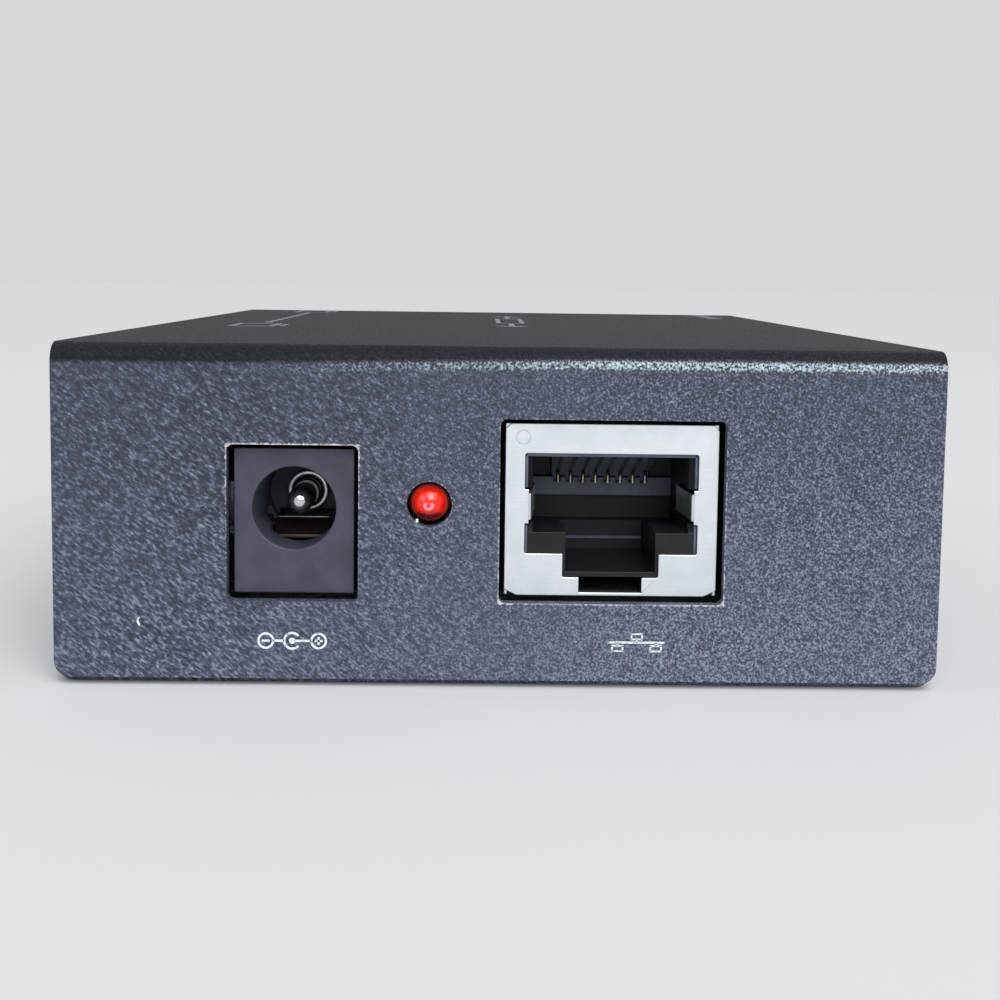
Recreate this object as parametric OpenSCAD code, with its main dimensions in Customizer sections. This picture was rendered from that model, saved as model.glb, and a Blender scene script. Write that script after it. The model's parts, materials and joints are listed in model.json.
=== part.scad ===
// Small metal-cased extender box that stands on a table.
// A folded sheet cover drops over a folded sheet tray. The tray carries one circuit board,
// and the board carries a power jack, a lamp and a network jack at the front, and a video
// socket at the rear. The front face looks along -Y, Z is up, and the origin is on the
// underside, under the middle of the box.

/* [Case] */
// Width over the side walls of the tray
case_w = 67; // [63:0.5:90]
// Length from the front face to the rear face
case_l = 95; // [90:0.5:130]
// Height from the underside to the top
case_h = 25.75; // [25:0.25:36]
// Thickness of the folded sheet
sheet_t = 1; // [0.8:0.1:1.2]
// Outside radius of the bends
bend_r = 1.5; // [1.3:0.1:1.8]
// How far each side wall stands out past the edge of the cover
wall_proud = 0.25; // [0.1:0.05:0.4]
// Height of the edge of the floor that shows below the flanges
floor_show = 0.6; // [0.4:0.1:0.8]
// Gap between the cover and the tray where they meet
seam_gap = 0.15; // [0.15:0.05:0.25]
// Corner radius at the foot of each flange
flange_corner_r = 1.2; // [0.8:0.1:1.5]
// Gap round each connector in its cutout
port_gap = 0.4; // [0.3:0.05:0.5]
// Corner radius of the cutouts
port_corner_r = 0.5; // [0.3:0.1:0.7]
// Gap between a connector's face and the flange in front of it
face_gap = 0.1; // [0.05:0.05:0.3]

/* [Cover brackets] */
// Length of each bracket along the box
bracket_l = 10; // [8:0.5:14]
// Drop of each bracket below the sheet of the top
bracket_drop = 8; // [7:0.5:10]
// Reach of each bracket under the top
bracket_reach = 6; // [5:0.5:8]
// From each end of the box to the middle of the nearer bracket
bracket_inset = 22; // [16:1:28]
// Gap between a bracket and the side wall
bracket_gap = 0.15; // [0.1:0.05:0.3]

/* [Screws] */
// Thread of the cover screws
cover_screw_d = 2.5; // [2:0.1:3]
// Head of the countersunk cover screws
cover_head_d = 4.5; // [4:0.1:5.5]
// Length of the cover screws with the head
cover_screw_l = 4; // [3.5:0.1:5]
// Thread of the board screws
board_screw_d = 3; // [2.5:0.1:3.2]
// Head of the board screws
board_head_d = 5.4; // [4.8:0.1:6]
// Height of the head of the board screws
board_head_h = 1.9; // [1.4:0.1:2.2]
// Length of the board screws under the head
board_screw_l = 4.6; // [4:0.1:5]
// Width of the cross recess
recess_w = 0.6; // [0.4:0.1:0.8]
// Depth of the cross recess
recess_depth = 0.7; // [0.4:0.1:0.8]
// Radial gap round each screw
screw_gap = 0.05; // [0.03:0.01:0.1]

/* [Board] */
// Thickness of the circuit board
board_t = 1.6; // [1.2:0.1:2]
// Gap between the board and each side wall
board_side_gap = 1; // [0.8:0.1:1.5]
// Gap between the board and each flange
board_end_gap = 1.5; // [1:0.1:2]
// Height of the standoffs above the floor
standoff_h = 4.3; // [3.8:0.1:5]
// Outside of the standoffs
standoff_d = 5.5; // [5:0.1:6]
// Spigot of each standoff, set in the floor
spigot_d = 4.2; // [3.8:0.1:4.6]
// From the side edge of the board to a screw
board_hole_side = 3.5; // [3.2:0.1:4]
// From the front or rear edge of the board to a screw
board_hole_end = 6; // [4:0.5:8]
// How far the soldered pins reach below the board
tail_out = 1.2; // [0.8:0.1:1.6]
// Gap round each pin in its hole
tail_gap = 0.15; // [0.1:0.05:0.25]

/* [Power jack] */
// Place of the jack across the box
dc_x = -15.4; // [-17:0.1:-14]
// Width of the jack
dc_w = 9; // [8.6:0.1:9.4]
// Height of the jack
dc_h = 11; // [10.8:0.1:11.4]
// Length of the jack
dc_l = 14; // [13.5:0.1:15]
// Length of the square block at its face
dc_face_l = 3.5; // [3:0.1:4]
// Step between the face block and the barrel
dc_step = 0.3; // [0.2:0.05:0.4]
// Mouth of the jack
dc_bore_d = 6.3; // [6:0.1:6.5]
// Height of the mouth's axis over the board
dc_bore_z = 6.5; // [6.3:0.1:6.7]
// Depth of the mouth
dc_bore_depth = 9.5; // [9:0.1:10]
// Centre pin
dc_pin_d = 2; // [1.6:0.1:2.2]
// How far the tip of the pin lies behind the face
dc_pin_recess = 2.7; // [2.4:0.1:3.2]
// Boss round the foot of the pin
dc_boss_d = 3.1; // [2.8:0.1:3.4]
// Length of that boss
dc_boss_l = 0.8; // [0.6:0.1:1.2]
// Width of the leaf spring
dc_leaf_w = 4.2; // [3.8:0.1:4.4]
// Thickness of the leaf spring
dc_leaf_t = 0.3; // [0.2:0.05:0.35]
// Depth of the crest of the leaf below the mouth's axis
dc_crest_drop = 1.65; // [1.6:0.05:2]

/* [Lamp] */
// Place of the lamp across the box
led_x = -5.2; // [-7:0.1:-4.5]
// Height of the lamp's axis over the board
led_z = 7.05; // [5:0.05:8]
// Diameter of the lamp
led_d = 3; // [2.8:0.1:3.2]
// Radial gap round the lamp in its hole
led_gap = 0.2; // [0.1:0.05:0.3]
// Length of the lamp from its tip to its back
led_l = 5.3; // [5:0.1:6]
// Rim at the back of the lamp
led_rim_d = 3.8; // [3.5:0.1:4.2]
// Thickness of that rim
led_rim_t = 1; // [0.8:0.1:1.2]
// Thickness of the two square leads
lead_t = 0.5; // [0.4:0.05:0.6]
// Spacing of the leads
lead_pitch = 2.54; // [2.3:0.02:2.6]
// Run of the leads behind the lamp before they turn down
lead_run = 1.6; // [1.2:0.1:2]

/* [Network jack] */
// Place of the jack across the box
rj_x = 8.5; // [8:0.05:10]
// Width over the metal shell
rj_w = 16.1; // [15.9:0.1:16.6]
// Height of the metal shell over the board
rj_h = 13.1; // [12.9:0.1:13.6]
// Length of the metal shell
rj_l = 18; // [17:0.5:19]
// Thickness of the shell
rj_shell_t = 0.25; // [0.2:0.05:0.3]
// Cut corners of the shell's face
rj_corner_cut = 0.45; // [0.3:0.05:0.6]
// Width of the lower corner cuts of the shell's face
rj_foot_cut_w = 0.95; // [0.5:0.05:1]
// Height of the lower corner cuts of the shell's face
rj_foot_cut_h = 0.45; // [0.25:0.05:0.5]
// Width of the window in the face
rj_window_w = 13.1; // [12.8:0.1:13.4]
// Corner radius of the window
rj_window_r = 0.2; // [0.1:0.05:0.3]
// How far the roots of the side fingers reach into the window
rj_sill = 0.3; // [0.2:0.05:0.4]
// Height of the face above the window
rj_top_band = 2.25; // [2:0.05:2.5]
// Height of the shoulders of the window over the board
rj_window_low = 3.2; // [2.9:0.1:3.4]
// Width of the keyway in the window
rj_key_w = 7.3; // [7:0.1:7.5]
// Height of the foot of the keyway over the board
rj_key_low = 1.4; // [1.2:0.1:1.6]
// Width of the latch slot in the window
rj_latch_w = 4.8; // [4.4:0.1:5]
// Width of the cavity that takes the plug
rj_plug_w = 11.8; // [11.7:0.1:12]
// Height of the ledges that carry the plug over the board
rj_plug_low = 4.8; // [4.6:0.1:5]
// How far the window reaches above the cavity's roof
rj_roof_lip = 0.15; // [0.05:0.05:0.2]
// Depth of the cavity behind the face
rj_cavity_l = 11; // [10.5:0.1:12]
// Number of contact wires
rj_contact_count = 8; // [8:1:8]
// Spacing of the contact wires
rj_contact_pitch = 1.02; // [1:0.01:1.04]
// Thickness of the contact wires
rj_contact_t = 0.35; // [0.3:0.01:0.4]
// Length of each side finger
rj_finger_l = 5.5; // [5:0.1:6]
// Height of each side finger
rj_finger_h = 2; // [1.6:0.1:2.4]
// Height of the middle of the side fingers over the board
rj_finger_z = 6.8; // [6.6:0.1:7]

/* [Video socket] */
// Place of the socket across the box
hdmi_x = 0; // [-8:0.5:8]
// Width over the shell
hdmi_w = 15; // [14.8:0.1:15.4]
// Height over the shell
hdmi_h = 5.6; // [5.5:0.1:5.9]
// Length of the shell
hdmi_l = 11.6; // [11:0.1:12.5]
// Thickness of the shell
hdmi_shell_t = 0.3; // [0.2:0.05:0.35]
// Gap between the shell and the board
hdmi_lift = 0.3; // [0.2:0.05:0.5]
// Height of the upright part of the sides
hdmi_side_h = 3.4; // [3.2:0.1:3.6]
// Width of the narrow foot of the shell
hdmi_foot_w = 10.6; // [10.4:0.1:10.9]
// How far the rim of the mouth is flared
hdmi_flare = 0.4; // [0.2:0.1:0.5]
// Thickness of the tongue
hdmi_tongue_t = 1.1; // [1:0.05:1.2]
// Width of the tongue
hdmi_tongue_w = 11.6; // [11.2:0.1:12]
// How far the tip of the tongue lies behind the mouth
hdmi_tongue_recess = 1.3; // [1:0.1:1.6]
// Length of the block behind the tongue
hdmi_block_l = 3.4; // [3:0.1:4]
// Number of contacts on the upper side of the tongue
hdmi_upper_count = 10; // [10:1:10]
// Spacing of the contacts on each side of the tongue
hdmi_pitch = 1; // [0.95:0.01:1.02]
// Width of a contact
hdmi_contact_w = 0.4; // [0.3:0.05:0.5]
// Thickness of a contact
hdmi_contact_t = 0.1; // [0.08:0.01:0.15]
// Length of each spring finger in the shell
hdmi_spring_l = 5; // [4.5:0.1:5.5]
// Width of each spring finger
hdmi_spring_w = 2; // [1.6:0.1:2.2]
// Spacing of the two fingers in one side
hdmi_spring_pitch = 5.5; // [5:0.1:6]

/* [Electronics] */
// Width of the square main chip
main_chip_w = 10; // [8:0.5:12]
// Height of the chips with leads
chip_h = 1.5; // [1.2:0.1:1.8]
// Leads on each side of the main chip
main_lead_count = 16; // [8:1:16]
// Spacing of the leads of the main chip
main_lead_pitch = 0.5; // [0.45:0.01:0.52]
// Width of a lead of the main chip
main_lead_w = 0.22; // [0.18:0.01:0.26]
// Length of the line transformer along the box
transformer_l = 7; // [6:0.5:8]
// Width of the line transformer
transformer_w = 13; // [12:0.5:14]
// Height of the line transformer
transformer_h = 5.4; // [4:0.2:6]
// Width of the square power inductor
inductor_w = 6; // [5:0.5:7]
// Height of the power inductor
inductor_h = 3; // [2.5:0.1:4]
// Diameter of the electrolytic capacitors
can_d = 6.3; // [5:0.1:6.6]
// Height of the electrolytic capacitors
can_h = 5.6; // [5.2:0.1:7.6]
// Length of the crystal
crystal_l = 11; // [10:0.5:12]
// Width of the crystal
crystal_w = 4.6; // [4:0.1:5]
// Height of the crystal
crystal_h = 3.6; // [3:0.1:4]
// Length of a small ceramic part
chip_part_l = 1.6; // [1.4:0.1:2]
// Width of a small ceramic part
chip_part_w = 0.8; // [0.6:0.1:1]
// Height of a small ceramic part
chip_part_h = 0.6; // [0.4:0.1:0.8]

/* [Hidden] */
$fn = 48;

// Overrun of every cut past the face that it opens
over = 0.5;

// Colours
coat = "#3b3c47";
metal = "#d6dbe0";
dark_metal = "#8f949b";
black_plastic = "#1f1f24";
grey_plastic = "#3a4150";
gold = "#d9b45a";
lamp_red = "#d3201c";
board_black = "#1b1d20";
chip_black = "#17181b";
ceramic = "#b89a6a";

// Cover and tray
cover_w = case_w - 2 * wall_proud;
tray_l = case_l - 2 * (sheet_t + seam_gap);
wall_top = case_h - sheet_t - seam_gap;
bracket_x = case_w / 2 - sheet_t - bracket_gap;
bracket_y = case_l / 2 - bracket_inset;
bracket_top = case_h - sheet_t;
cover_screw_z = bracket_top - bracket_drop / 2;

// Screws
board_head_top_d = 3.6;

// Board
board_w = case_w - 2 * (sheet_t + board_side_gap);
board_l = case_l - 2 * (sheet_t + board_end_gap);
board_z = sheet_t + standoff_h;
board_top = board_z + board_t;
board_hole_x = board_w / 2 - board_hole_side;
board_hole_y = board_l / 2 - board_hole_end;
seat_y = case_l / 2 - sheet_t - face_gap;
tail_low = board_t + tail_out;
spigot_gap = screw_gap;

// Power jack
dc_pin_tip_l = 0.5;
dc_pin_tip_d = 1;
dc_pin_root_d = 2.4;
dc_pin_root_y = dc_bore_depth - dc_boss_l;
dc_barrel_r = dc_w / 2 - dc_step;
dc_floor_t = 1;
dc_lip_l = 3.6;
dc_leaf_root_y = 11;
dc_leaf_root_drop = 3.2;
dc_leaf_crest_y = 5.9;
dc_leaf_lip_gap = 0.25;
dc_leaf_lip_y = dc_lip_l + dc_leaf_lip_gap;
dc_leaf_lip_fall = 1.1;
dc_leaf_lip_drop = dc_crest_drop + dc_leaf_lip_fall;
dc_leaf_side_gap = 0.25;
dc_root_gap = 0.08;
dc_terminal_w = 2.4;
dc_terminal_t = 0.3;
dc_pin_terminal_w = 2.2;
dc_ear_l = 1.4;
dc_ear_y = 6.8;
dc_ear_w = 1.1;
dc_switch_x = dc_leaf_w / 2 + dc_leaf_side_gap + dc_ear_w;
dc_switch_gap = 0.06;

// Network jack
rj_fit = 0.05;
rj_inner_w = rj_w - 2 * (rj_shell_t + rj_fit);
rj_inner_h = rj_h - rj_shell_t - rj_fit;
rj_inner_l = rj_l - 2 * (rj_shell_t + rj_fit);
rj_mouth_y = rj_shell_t + rj_fit;
rj_window_top = rj_h - rj_top_band;
rj_plug_top = rj_window_top - rj_roof_lip;
rj_bevel = (rj_window_w - rj_plug_w) / 2;
rj_key_cavity_w = rj_key_w - 2 * rj_shell_t;
rj_ledge_l = 4.6;
rj_ledge_drop = 0.6;
rj_key_floor_t = 0.4;
rj_key_cavity_l = 9.5;
rj_latch_cavity_l = 6;
rj_leg_w = 2;
rj_leg_place_share = 0.4;
rj_leg_y = rj_l * rj_leg_place_share;
rj_tongue_l = 3;
rj_tongue_over = 1;
rj_wire_root_y = 2.4;
rj_wire_root_drop = 0.05;
rj_wire_root_z = rj_plug_top - rj_wire_root_drop;
rj_wire_fall = 2.95;
rj_wire_tip_y = 9.6;
rj_wire_tip_z = rj_wire_root_z - rj_wire_fall;
rj_roof_slot_h = 1.2;
rj_roof_slot_w = rj_contact_count * rj_contact_pitch;
rj_carrier_front_y = 10.1;
rj_carrier_drop = 1.6;
rj_carrier_low = rj_wire_tip_z - rj_carrier_drop;
rj_carrier_band_h = 1.5;
rj_carrier_w = rj_roof_slot_w - 2 * rj_fit;
rj_carrier_top = rj_plug_top + rj_roof_slot_h - rj_fit;
rj_comb_depth = 0.6;
rj_comb_room = 0.1;
rj_run_gap = 0.1;
rj_tail_t = 0.4;
rj_tail_y = 14;
rj_tail_row = 2.54;
rj_tail_pocket = 1;
rj_finger_t = 0.2;
rj_finger_lean = 5;
rj_finger_pocket = 0.6;
rj_finger_root_y = rj_shell_t + rj_fit;
rj_finger_root_x = rj_plug_w / 2 + rj_finger_t + rj_fit;
rj_finger_room = 0.3;

// Video socket
hdmi_corner = 0.6;
hdmi_fit = 0.05;
hdmi_rim_l = 0.4;
hdmi_foot_l = 1.6;
hdmi_foot_y = hdmi_l / 2;
hdmi_slope = atan2(hdmi_h - hdmi_side_h, (hdmi_w - hdmi_foot_w) / 2);
hdmi_tongue_z = hdmi_lift + hdmi_h / 2 + hdmi_tongue_t / 4;
hdmi_spring_gap = 0.08;
hdmi_spring_lean = 3;
hdmi_spring_mouth = 1.6;
hdmi_root_gap = 0.05;
hdmi_tail_w = 0.25;
hdmi_tail_t = 0.15;
hdmi_tail_l = 1;
hdmi_tail_count = 2 * hdmi_upper_count - 1;
hdmi_tail_pitch = hdmi_pitch / 2;

// Electronics: a share gives a place from the board's middle, and the rest are gaps from what is near
main_chip_shares = [0.143, 0.078];
memory_shares = [-0.143, 0.233];
crystal_shares = [-0.135, 0.056];
ceramic_shares = [0.302, -0.067];
resistor_y_share = 0.022;
can_side = 7.5;
can_behind = 8.4;
can_pitch = 10;
rear_can_behind = 4.6;
regulator_off = 8;
inductor_off = 9;
inductor_behind = 20.4;
resistor_side = 9.5;
transformer_behind = 5.4;
network_row_behind = 4.5;
network_row_count = 6;
network_row_pitch = 2.9;
resistor_rows = 7;
resistor_pitch = 2.2;
power_y = dc_l - seat_y;
can_x = can_side - board_w / 2;
resistor_at = [resistor_side - board_w / 2, resistor_y_share * board_l];
cans_at = [
    [can_x, power_y + can_behind],
    [can_x, power_y + can_behind + can_pitch],
    [can_x, resistor_at[1] + resistor_rows * resistor_pitch + rear_can_behind]
];
regulator_at = [can_x + regulator_off, power_y + can_behind];
inductor_at = [can_x + inductor_off, power_y + inductor_behind];
transformer_at = [rj_x, rj_l - seat_y + transformer_behind + transformer_l / 2];
network_row_y = transformer_at[1] + transformer_l / 2 + network_row_behind;
memory_w = 3.9;
memory_l = 4.9;
memory_lead_pitch = 1.27;
memory_lead_w = 0.4;
memory_lead_count = 4;
lead_foot_l = 0.6;
lead_out_l = 1;
lead_sheet_t = 0.15;
chip_stand = 0.1;
chip_mark_r = 0.35;
chip_mark_in = 1;
regulator_w = 6.5;
regulator_l = 3.5;
regulator_h = 1.7;
regulator_lead_w = 0.7;
regulator_lead_pitch = 2.3;
regulator_lead_count = 3;
regulator_tab_w = 3;
transformer_lead_count = 8;
transformer_lead_pitch = 1.27;
transformer_lead_w = 0.4;
can_base_h = 1;
can_base_over = 0.15;
can_neck_h = 0.8;
can_neck_depth = 0.35;
inductor_coil_gap = 0.8;
inductor_cheek_h = 0.7;
array_w = 1;
array_l = 2.5;
array_h = 0.6;
array_pitch = 4;
array_count = 4;
array_back = 4;
ceramic_rows = 5;
ceramic_pitch = 3;

// A block centred across X that starts at Y zero and Z zero
module block(w, l, h) {
    translate([-w / 2, 0, 0])
        cube([w, l, h]);
}

// An outline with round upper corners and a square foot, centred across
module arch(w, h, r) {
    translate([-w / 2, 0])
        square([w, h - r]);
    translate([r - w / 2, 0])
        square([w - 2 * r, h]);
    for (side = [-1, 1])
        translate([side * (w / 2 - r), h - r])
            circle(r);
}

// A folded channel, open at its foot
module channel(w, h) {
    difference() {
        arch(w, h, bend_r);
        translate([0, -over])
            arch(w - 2 * sheet_t, h - sheet_t + over, bend_r - sheet_t);
    }
}

// A rounded rectangle, centred both ways
module rounded(w, h, r) {
    square([w - 2 * r, h], center = true);
    square([w, h - 2 * r], center = true);
    for (x = [-1, 1], y = [-1, 1])
        translate([x * (w / 2 - r), y * (h / 2 - r)])
            circle(r);
}

// Draws an outline in the X and Z plane and gives it a depth along +Y
module upright(depth) {
    translate([0, depth, 0])
        rotate([90, 0, 0])
            linear_extrude(depth)
                children();
}

// Places a connector: its face is at Y zero, the board's top at Z zero, and it runs along +Y
module at_front(x) {
    translate([x, -seat_y, board_top])
        children();
}

module at_rear(x) {
    translate([x, seat_y, board_top])
        rotate([0, 0, 180])
            children();
}

// The four places of a pattern that is alike on both sides and at both ends
module four_places(x, y) {
    for (side = [-1, 1], end = [-1, 1])
        translate([side * x, end * y, 0])
            children();
}

// A cross recess, cut down from Z zero
module cross_recess(w) {
    for (turn = [0, 90])
        rotate([0, 0, turn])
            translate([-w / 2, -recess_w / 2, -recess_depth])
                cube([w, recess_w, recess_depth + over]);
}

// Both brackets or screws of both side walls, each placed from the wall at +X
module side_places() {
    for (turn = [0, 180], end = [-1, 1])
        rotate([0, 0, turn])
            translate([0, end * bracket_y, 0])
                children();
}

// An angle bracket under the top, with one leg along the side wall
module cover_bracket() {
    translate([0, -bracket_l / 2, 0])
        upright(bracket_l) {
            translate([bracket_x - sheet_t, bracket_top - bracket_drop])
                square([sheet_t, bracket_drop - bend_r]);
            translate([bracket_x - bracket_reach, bracket_top - sheet_t])
                square([bracket_reach - bend_r, sheet_t]);
            translate([bracket_x - bend_r, bracket_top - bend_r])
                intersection() {
                    difference() {
                        circle(bend_r);
                        circle(bend_r - sheet_t);
                    }
                    square(bend_r);
                }
        }
}

module cover_brackets() {
    color(dark_metal)
        side_places()
            difference() {
                cover_bracket();
                screw_along_x(bracket_x + over, cover_screw_d / 2, cover_screw_d / 2, sheet_t + 2 * over);
            }
}

// A straight or tapered round along a cover screw's axis, inwards from a place on X
module screw_along_x(x, r1, r2, h) {
    translate([x, 0, cover_screw_z])
        rotate([0, -90, 0])
            cylinder(h = h, r1 = r1, r2 = r2);
}

module upper_cover() {
    color(coat)
        difference() {
            translate([-cover_w / 2, 0, floor_show])
                rotate([90, 0, 90])
                    linear_extrude(cover_w)
                        channel(case_l, case_h - floor_show);
            flange_foot_corners();
            front_cutouts();
            rear_cutout();
        }
}

// Rounds the lower corners of both flanges
module flange_foot_corners() {
    for (side = [0, 180])
        rotate([0, 0, side])
            translate([cover_w / 2 - flange_corner_r, -case_l / 2 - over, floor_show + flange_corner_r])
                upright(case_l + 2 * over)
                    difference() {
                        translate([0, -flange_corner_r - over])
                            square(flange_corner_r + over);
                        circle(flange_corner_r);
                    }
}

module front_cutouts() {
    depth = sheet_t + 2 * over;
    at_front(dc_x)
        translate([0, -depth, dc_h / 2])
            upright(2 * depth)
                rounded(dc_w + 2 * port_gap, dc_h + 2 * port_gap, port_corner_r);
    at_front(rj_x)
        translate([0, -depth, rj_h / 2])
            upright(2 * depth)
                rounded(rj_w + 2 * port_gap, rj_h + 2 * port_gap, port_corner_r);
    at_front(led_x)
        translate([0, depth, led_z])
            rotate([90, 0, 0])
                cylinder(h = 2 * depth, r = led_d / 2 + led_gap);
}

module rear_cutout() {
    depth = sheet_t + 2 * over;
    at_rear(hdmi_x)
        translate([0, -depth, 0])
            upright(2 * depth)
                socket_outline(hdmi_flare + port_gap);
}

module lower_tray() {
    color(coat)
        difference() {
            translate([0, -tray_l / 2, wall_top])
                upright(tray_l)
                    mirror([0, 1])
                        channel(case_w, wall_top);
            four_places(board_hole_x, board_hole_y)
                translate([0, 0, -over])
                    cylinder(h = sheet_t + 2 * over, r = spigot_d / 2 + spigot_gap);
            side_places() {
                screw_along_x(
                    case_w / 2, cover_head_d / 2 + screw_gap, cover_screw_d / 2 + screw_gap, sheet_t
                );
                screw_along_x(
                    case_w / 2 + over, cover_screw_d / 2 + screw_gap, cover_screw_d / 2 + screw_gap,
                    sheet_t + 2 * over
                );
            }
        }
}

module cover_screws() {
    shank_r = cover_screw_d / 2 - screw_gap;
    color(dark_metal)
        side_places()
            difference() {
                union() {
                    screw_along_x(
                        case_w / 2 - screw_gap, cover_head_d / 2 - screw_gap, shank_r, sheet_t - screw_gap
                    );
                    screw_along_x(case_w / 2 - sheet_t / 2, shank_r, shank_r, cover_screw_l - sheet_t / 2);
                }
                translate([case_w / 2 - screw_gap, 0, cover_screw_z])
                    rotate([0, 90, 0])
                        cross_recess(cover_screw_d);
            }
}

module circuit_board() {
    color(board_black)
        difference() {
            translate([0, -board_l / 2, board_z])
                block(board_w, board_l, board_t);
            four_places(board_hole_x, board_hole_y)
                translate([0, 0, board_z - over])
                    cylinder(h = board_t + 2 * over, r = board_screw_d / 2 + screw_gap);
            at_front(dc_x)
                tail_slots(dc_slots(), -board_t, 0);
            at_front(rj_x)
                tail_slots(rj_slots(), -board_t, 0);
            at_front(rj_x)
                rj_tail_places()
                    pin_hole(rj_tail_t);
            at_front(led_x)
                translate([0, led_lead_y() + lead_t / 2, 0])
                    for (side = [-1, 1])
                        translate([side * lead_pitch / 2, 0, 0])
                            pin_hole(lead_t);
            at_rear(hdmi_x)
                tail_slots(hdmi_slots(), -board_t, 0);
        }
}

// A round hole for a square pin
module pin_hole(pin_t) {
    translate([0, 0, -board_t - over])
        cylinder(h = board_t + 2 * over, r = pin_t / sqrt(2) + tail_gap);
}

// Slots for flat tails: each row is [middle x, middle y, width across, length along]
module tail_slots(rows, low, high) {
    for (row = rows)
        translate([row[0] - row[2] / 2 - tail_gap, row[1] - row[3] / 2 - tail_gap, low - over])
            cube([row[2] + 2 * tail_gap, row[3] + 2 * tail_gap, high - low + 2 * over]);
}

function dc_slots() = [
    [0, dc_l + dc_terminal_t / 2, dc_pin_terminal_w, dc_terminal_t],
    [0, dc_leaf_root_y + dc_root_gap + dc_terminal_t / 2, dc_terminal_w, dc_terminal_t],
    [-dc_switch_x - dc_terminal_t / 2, dc_ear_y, dc_terminal_t, dc_ear_l]
];

function rj_slots() = [
    for (side = [-1, 1])
        [side * (rj_w - rj_shell_t) / 2, rj_leg_y, rj_shell_t, rj_leg_w]
];

function hdmi_slots() = [
    for (side = [-1, 1], end = [-1, 1])
        [side * (hdmi_w - hdmi_shell_t) / 2, hdmi_foot_y + end * hdmi_foot_l, hdmi_shell_t, hdmi_foot_l]
];

function led_lead_y() = led_l - sheet_t - face_gap + lead_run;

module board_standoffs() {
    color(metal)
        four_places(board_hole_x, board_hole_y)
            difference() {
                union() {
                    translate([0, 0, sheet_t])
                        cylinder(h = standoff_h, r = standoff_d / 2);
                    cylinder(h = sheet_t, r = spigot_d / 2);
                }
                translate([0, 0, sheet_t])
                    cylinder(h = standoff_h + over, r = board_screw_d / 2);
            }
}

module board_screws() {
    color(metal)
        four_places(board_hole_x, board_hole_y)
            difference() {
                union() {
                    translate([0, 0, board_top])
                        cylinder(h = board_head_h / 2, r = board_head_d / 2);
                    translate([0, 0, board_top + board_head_h / 2])
                        cylinder(h = board_head_h / 2, r1 = board_head_d / 2, r2 = board_head_top_d / 2);
                    translate([0, 0, board_top - board_screw_l])
                        cylinder(h = board_screw_l, r = board_screw_d / 2 - screw_gap);
                }
                translate([0, 0, board_top + board_head_h])
                    cross_recess(board_head_d / 2);
            }
}

// Turns a shape drawn along Z so that it runs along +Y from the mouth's axis
module dc_axis() {
    translate([0, 0, dc_bore_z])
        rotate([-90, 0, 0])
            children();
}

module dc_jack_body() {
    room = dc_leaf_w + 2 * dc_leaf_side_gap;
    color(black_plastic)
        at_front(dc_x)
            difference() {
                union() {
                    block(dc_w, dc_face_l, dc_h);
                    block(dc_w - 2 * dc_step, dc_l, dc_bore_z);
                    dc_axis()
                        cylinder(h = dc_l, r = dc_barrel_r);
                }
                difference() {
                    dc_axis()
                        translate([0, 0, -over])
                            cylinder(h = dc_bore_depth + over, r = dc_bore_d / 2);
                    dc_axis()
                        translate([0, 0, dc_bore_depth - dc_boss_l])
                            cylinder(h = dc_boss_l + over, r = dc_boss_d / 2);
                }
                dc_axis()
                    cylinder(h = dc_l + over, r = dc_pin_root_d / 2 + screw_gap);
                translate([0, dc_lip_l, dc_floor_t])
                    block(room, dc_leaf_root_y + dc_root_gap + 2 * dc_terminal_t - dc_lip_l,
                        dc_bore_z - dc_crest_drop - dc_floor_t);
                translate([-dc_switch_x - dc_terminal_t - tail_gap, dc_ear_y - dc_ear_l, dc_floor_t])
                    cube([dc_switch_x + dc_terminal_t + tail_gap, 2 * dc_ear_l,
                        dc_bore_z - dc_crest_drop - dc_floor_t + 2 * dc_leaf_t]);
                tail_slots([dc_slots()[1], dc_slots()[2]], 0, dc_floor_t);
            }
}

// The centre pin: a tapered tip, the free stretch in the mouth and a thicker root in the body
module dc_jack_pin() {
    free_y = dc_pin_recess + dc_pin_tip_l;
    color(metal)
        at_front(dc_x) {
            dc_axis() {
                translate([0, 0, dc_pin_recess])
                    cylinder(h = dc_pin_tip_l, r1 = dc_pin_tip_d / 2, r2 = dc_pin_d / 2);
                translate([0, 0, free_y])
                    cylinder(h = dc_pin_root_y - free_y, r = dc_pin_d / 2);
                translate([0, 0, dc_pin_root_y])
                    cylinder(h = dc_l - dc_pin_root_y, r = dc_pin_root_d / 2);
            }
            translate([0, dc_l, -tail_low])
                block(dc_pin_terminal_w, dc_terminal_t, tail_low + dc_bore_z + dc_pin_d);
        }
}

// The leaf under the pin: it rises to a crest and drops again to its front lip
module dc_jack_leaf() {
    color(dark_metal)
        at_front(dc_x)
            translate([0, 0, dc_bore_z]) {
                translate([-dc_leaf_w / 2, 0, 0])
                    rotate([90, 0, 90])
                        linear_extrude(dc_leaf_w)
                            polygon([
                                [dc_leaf_root_y, -dc_leaf_root_drop],
                                [dc_leaf_crest_y, -dc_crest_drop],
                                [dc_leaf_lip_y, -dc_leaf_lip_drop],
                                [dc_leaf_lip_y, -dc_leaf_lip_drop - dc_leaf_t],
                                [dc_leaf_crest_y, -dc_crest_drop - dc_leaf_t],
                                [dc_leaf_root_y, -dc_leaf_root_drop - dc_leaf_t]
                            ]);
                translate([-dc_leaf_w / 2 - dc_ear_w, dc_ear_y - dc_ear_l / 2, dc_ear_z()])
                    cube([dc_ear_w + dc_leaf_side_gap, dc_ear_l, dc_leaf_t]);
            }
}

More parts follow.
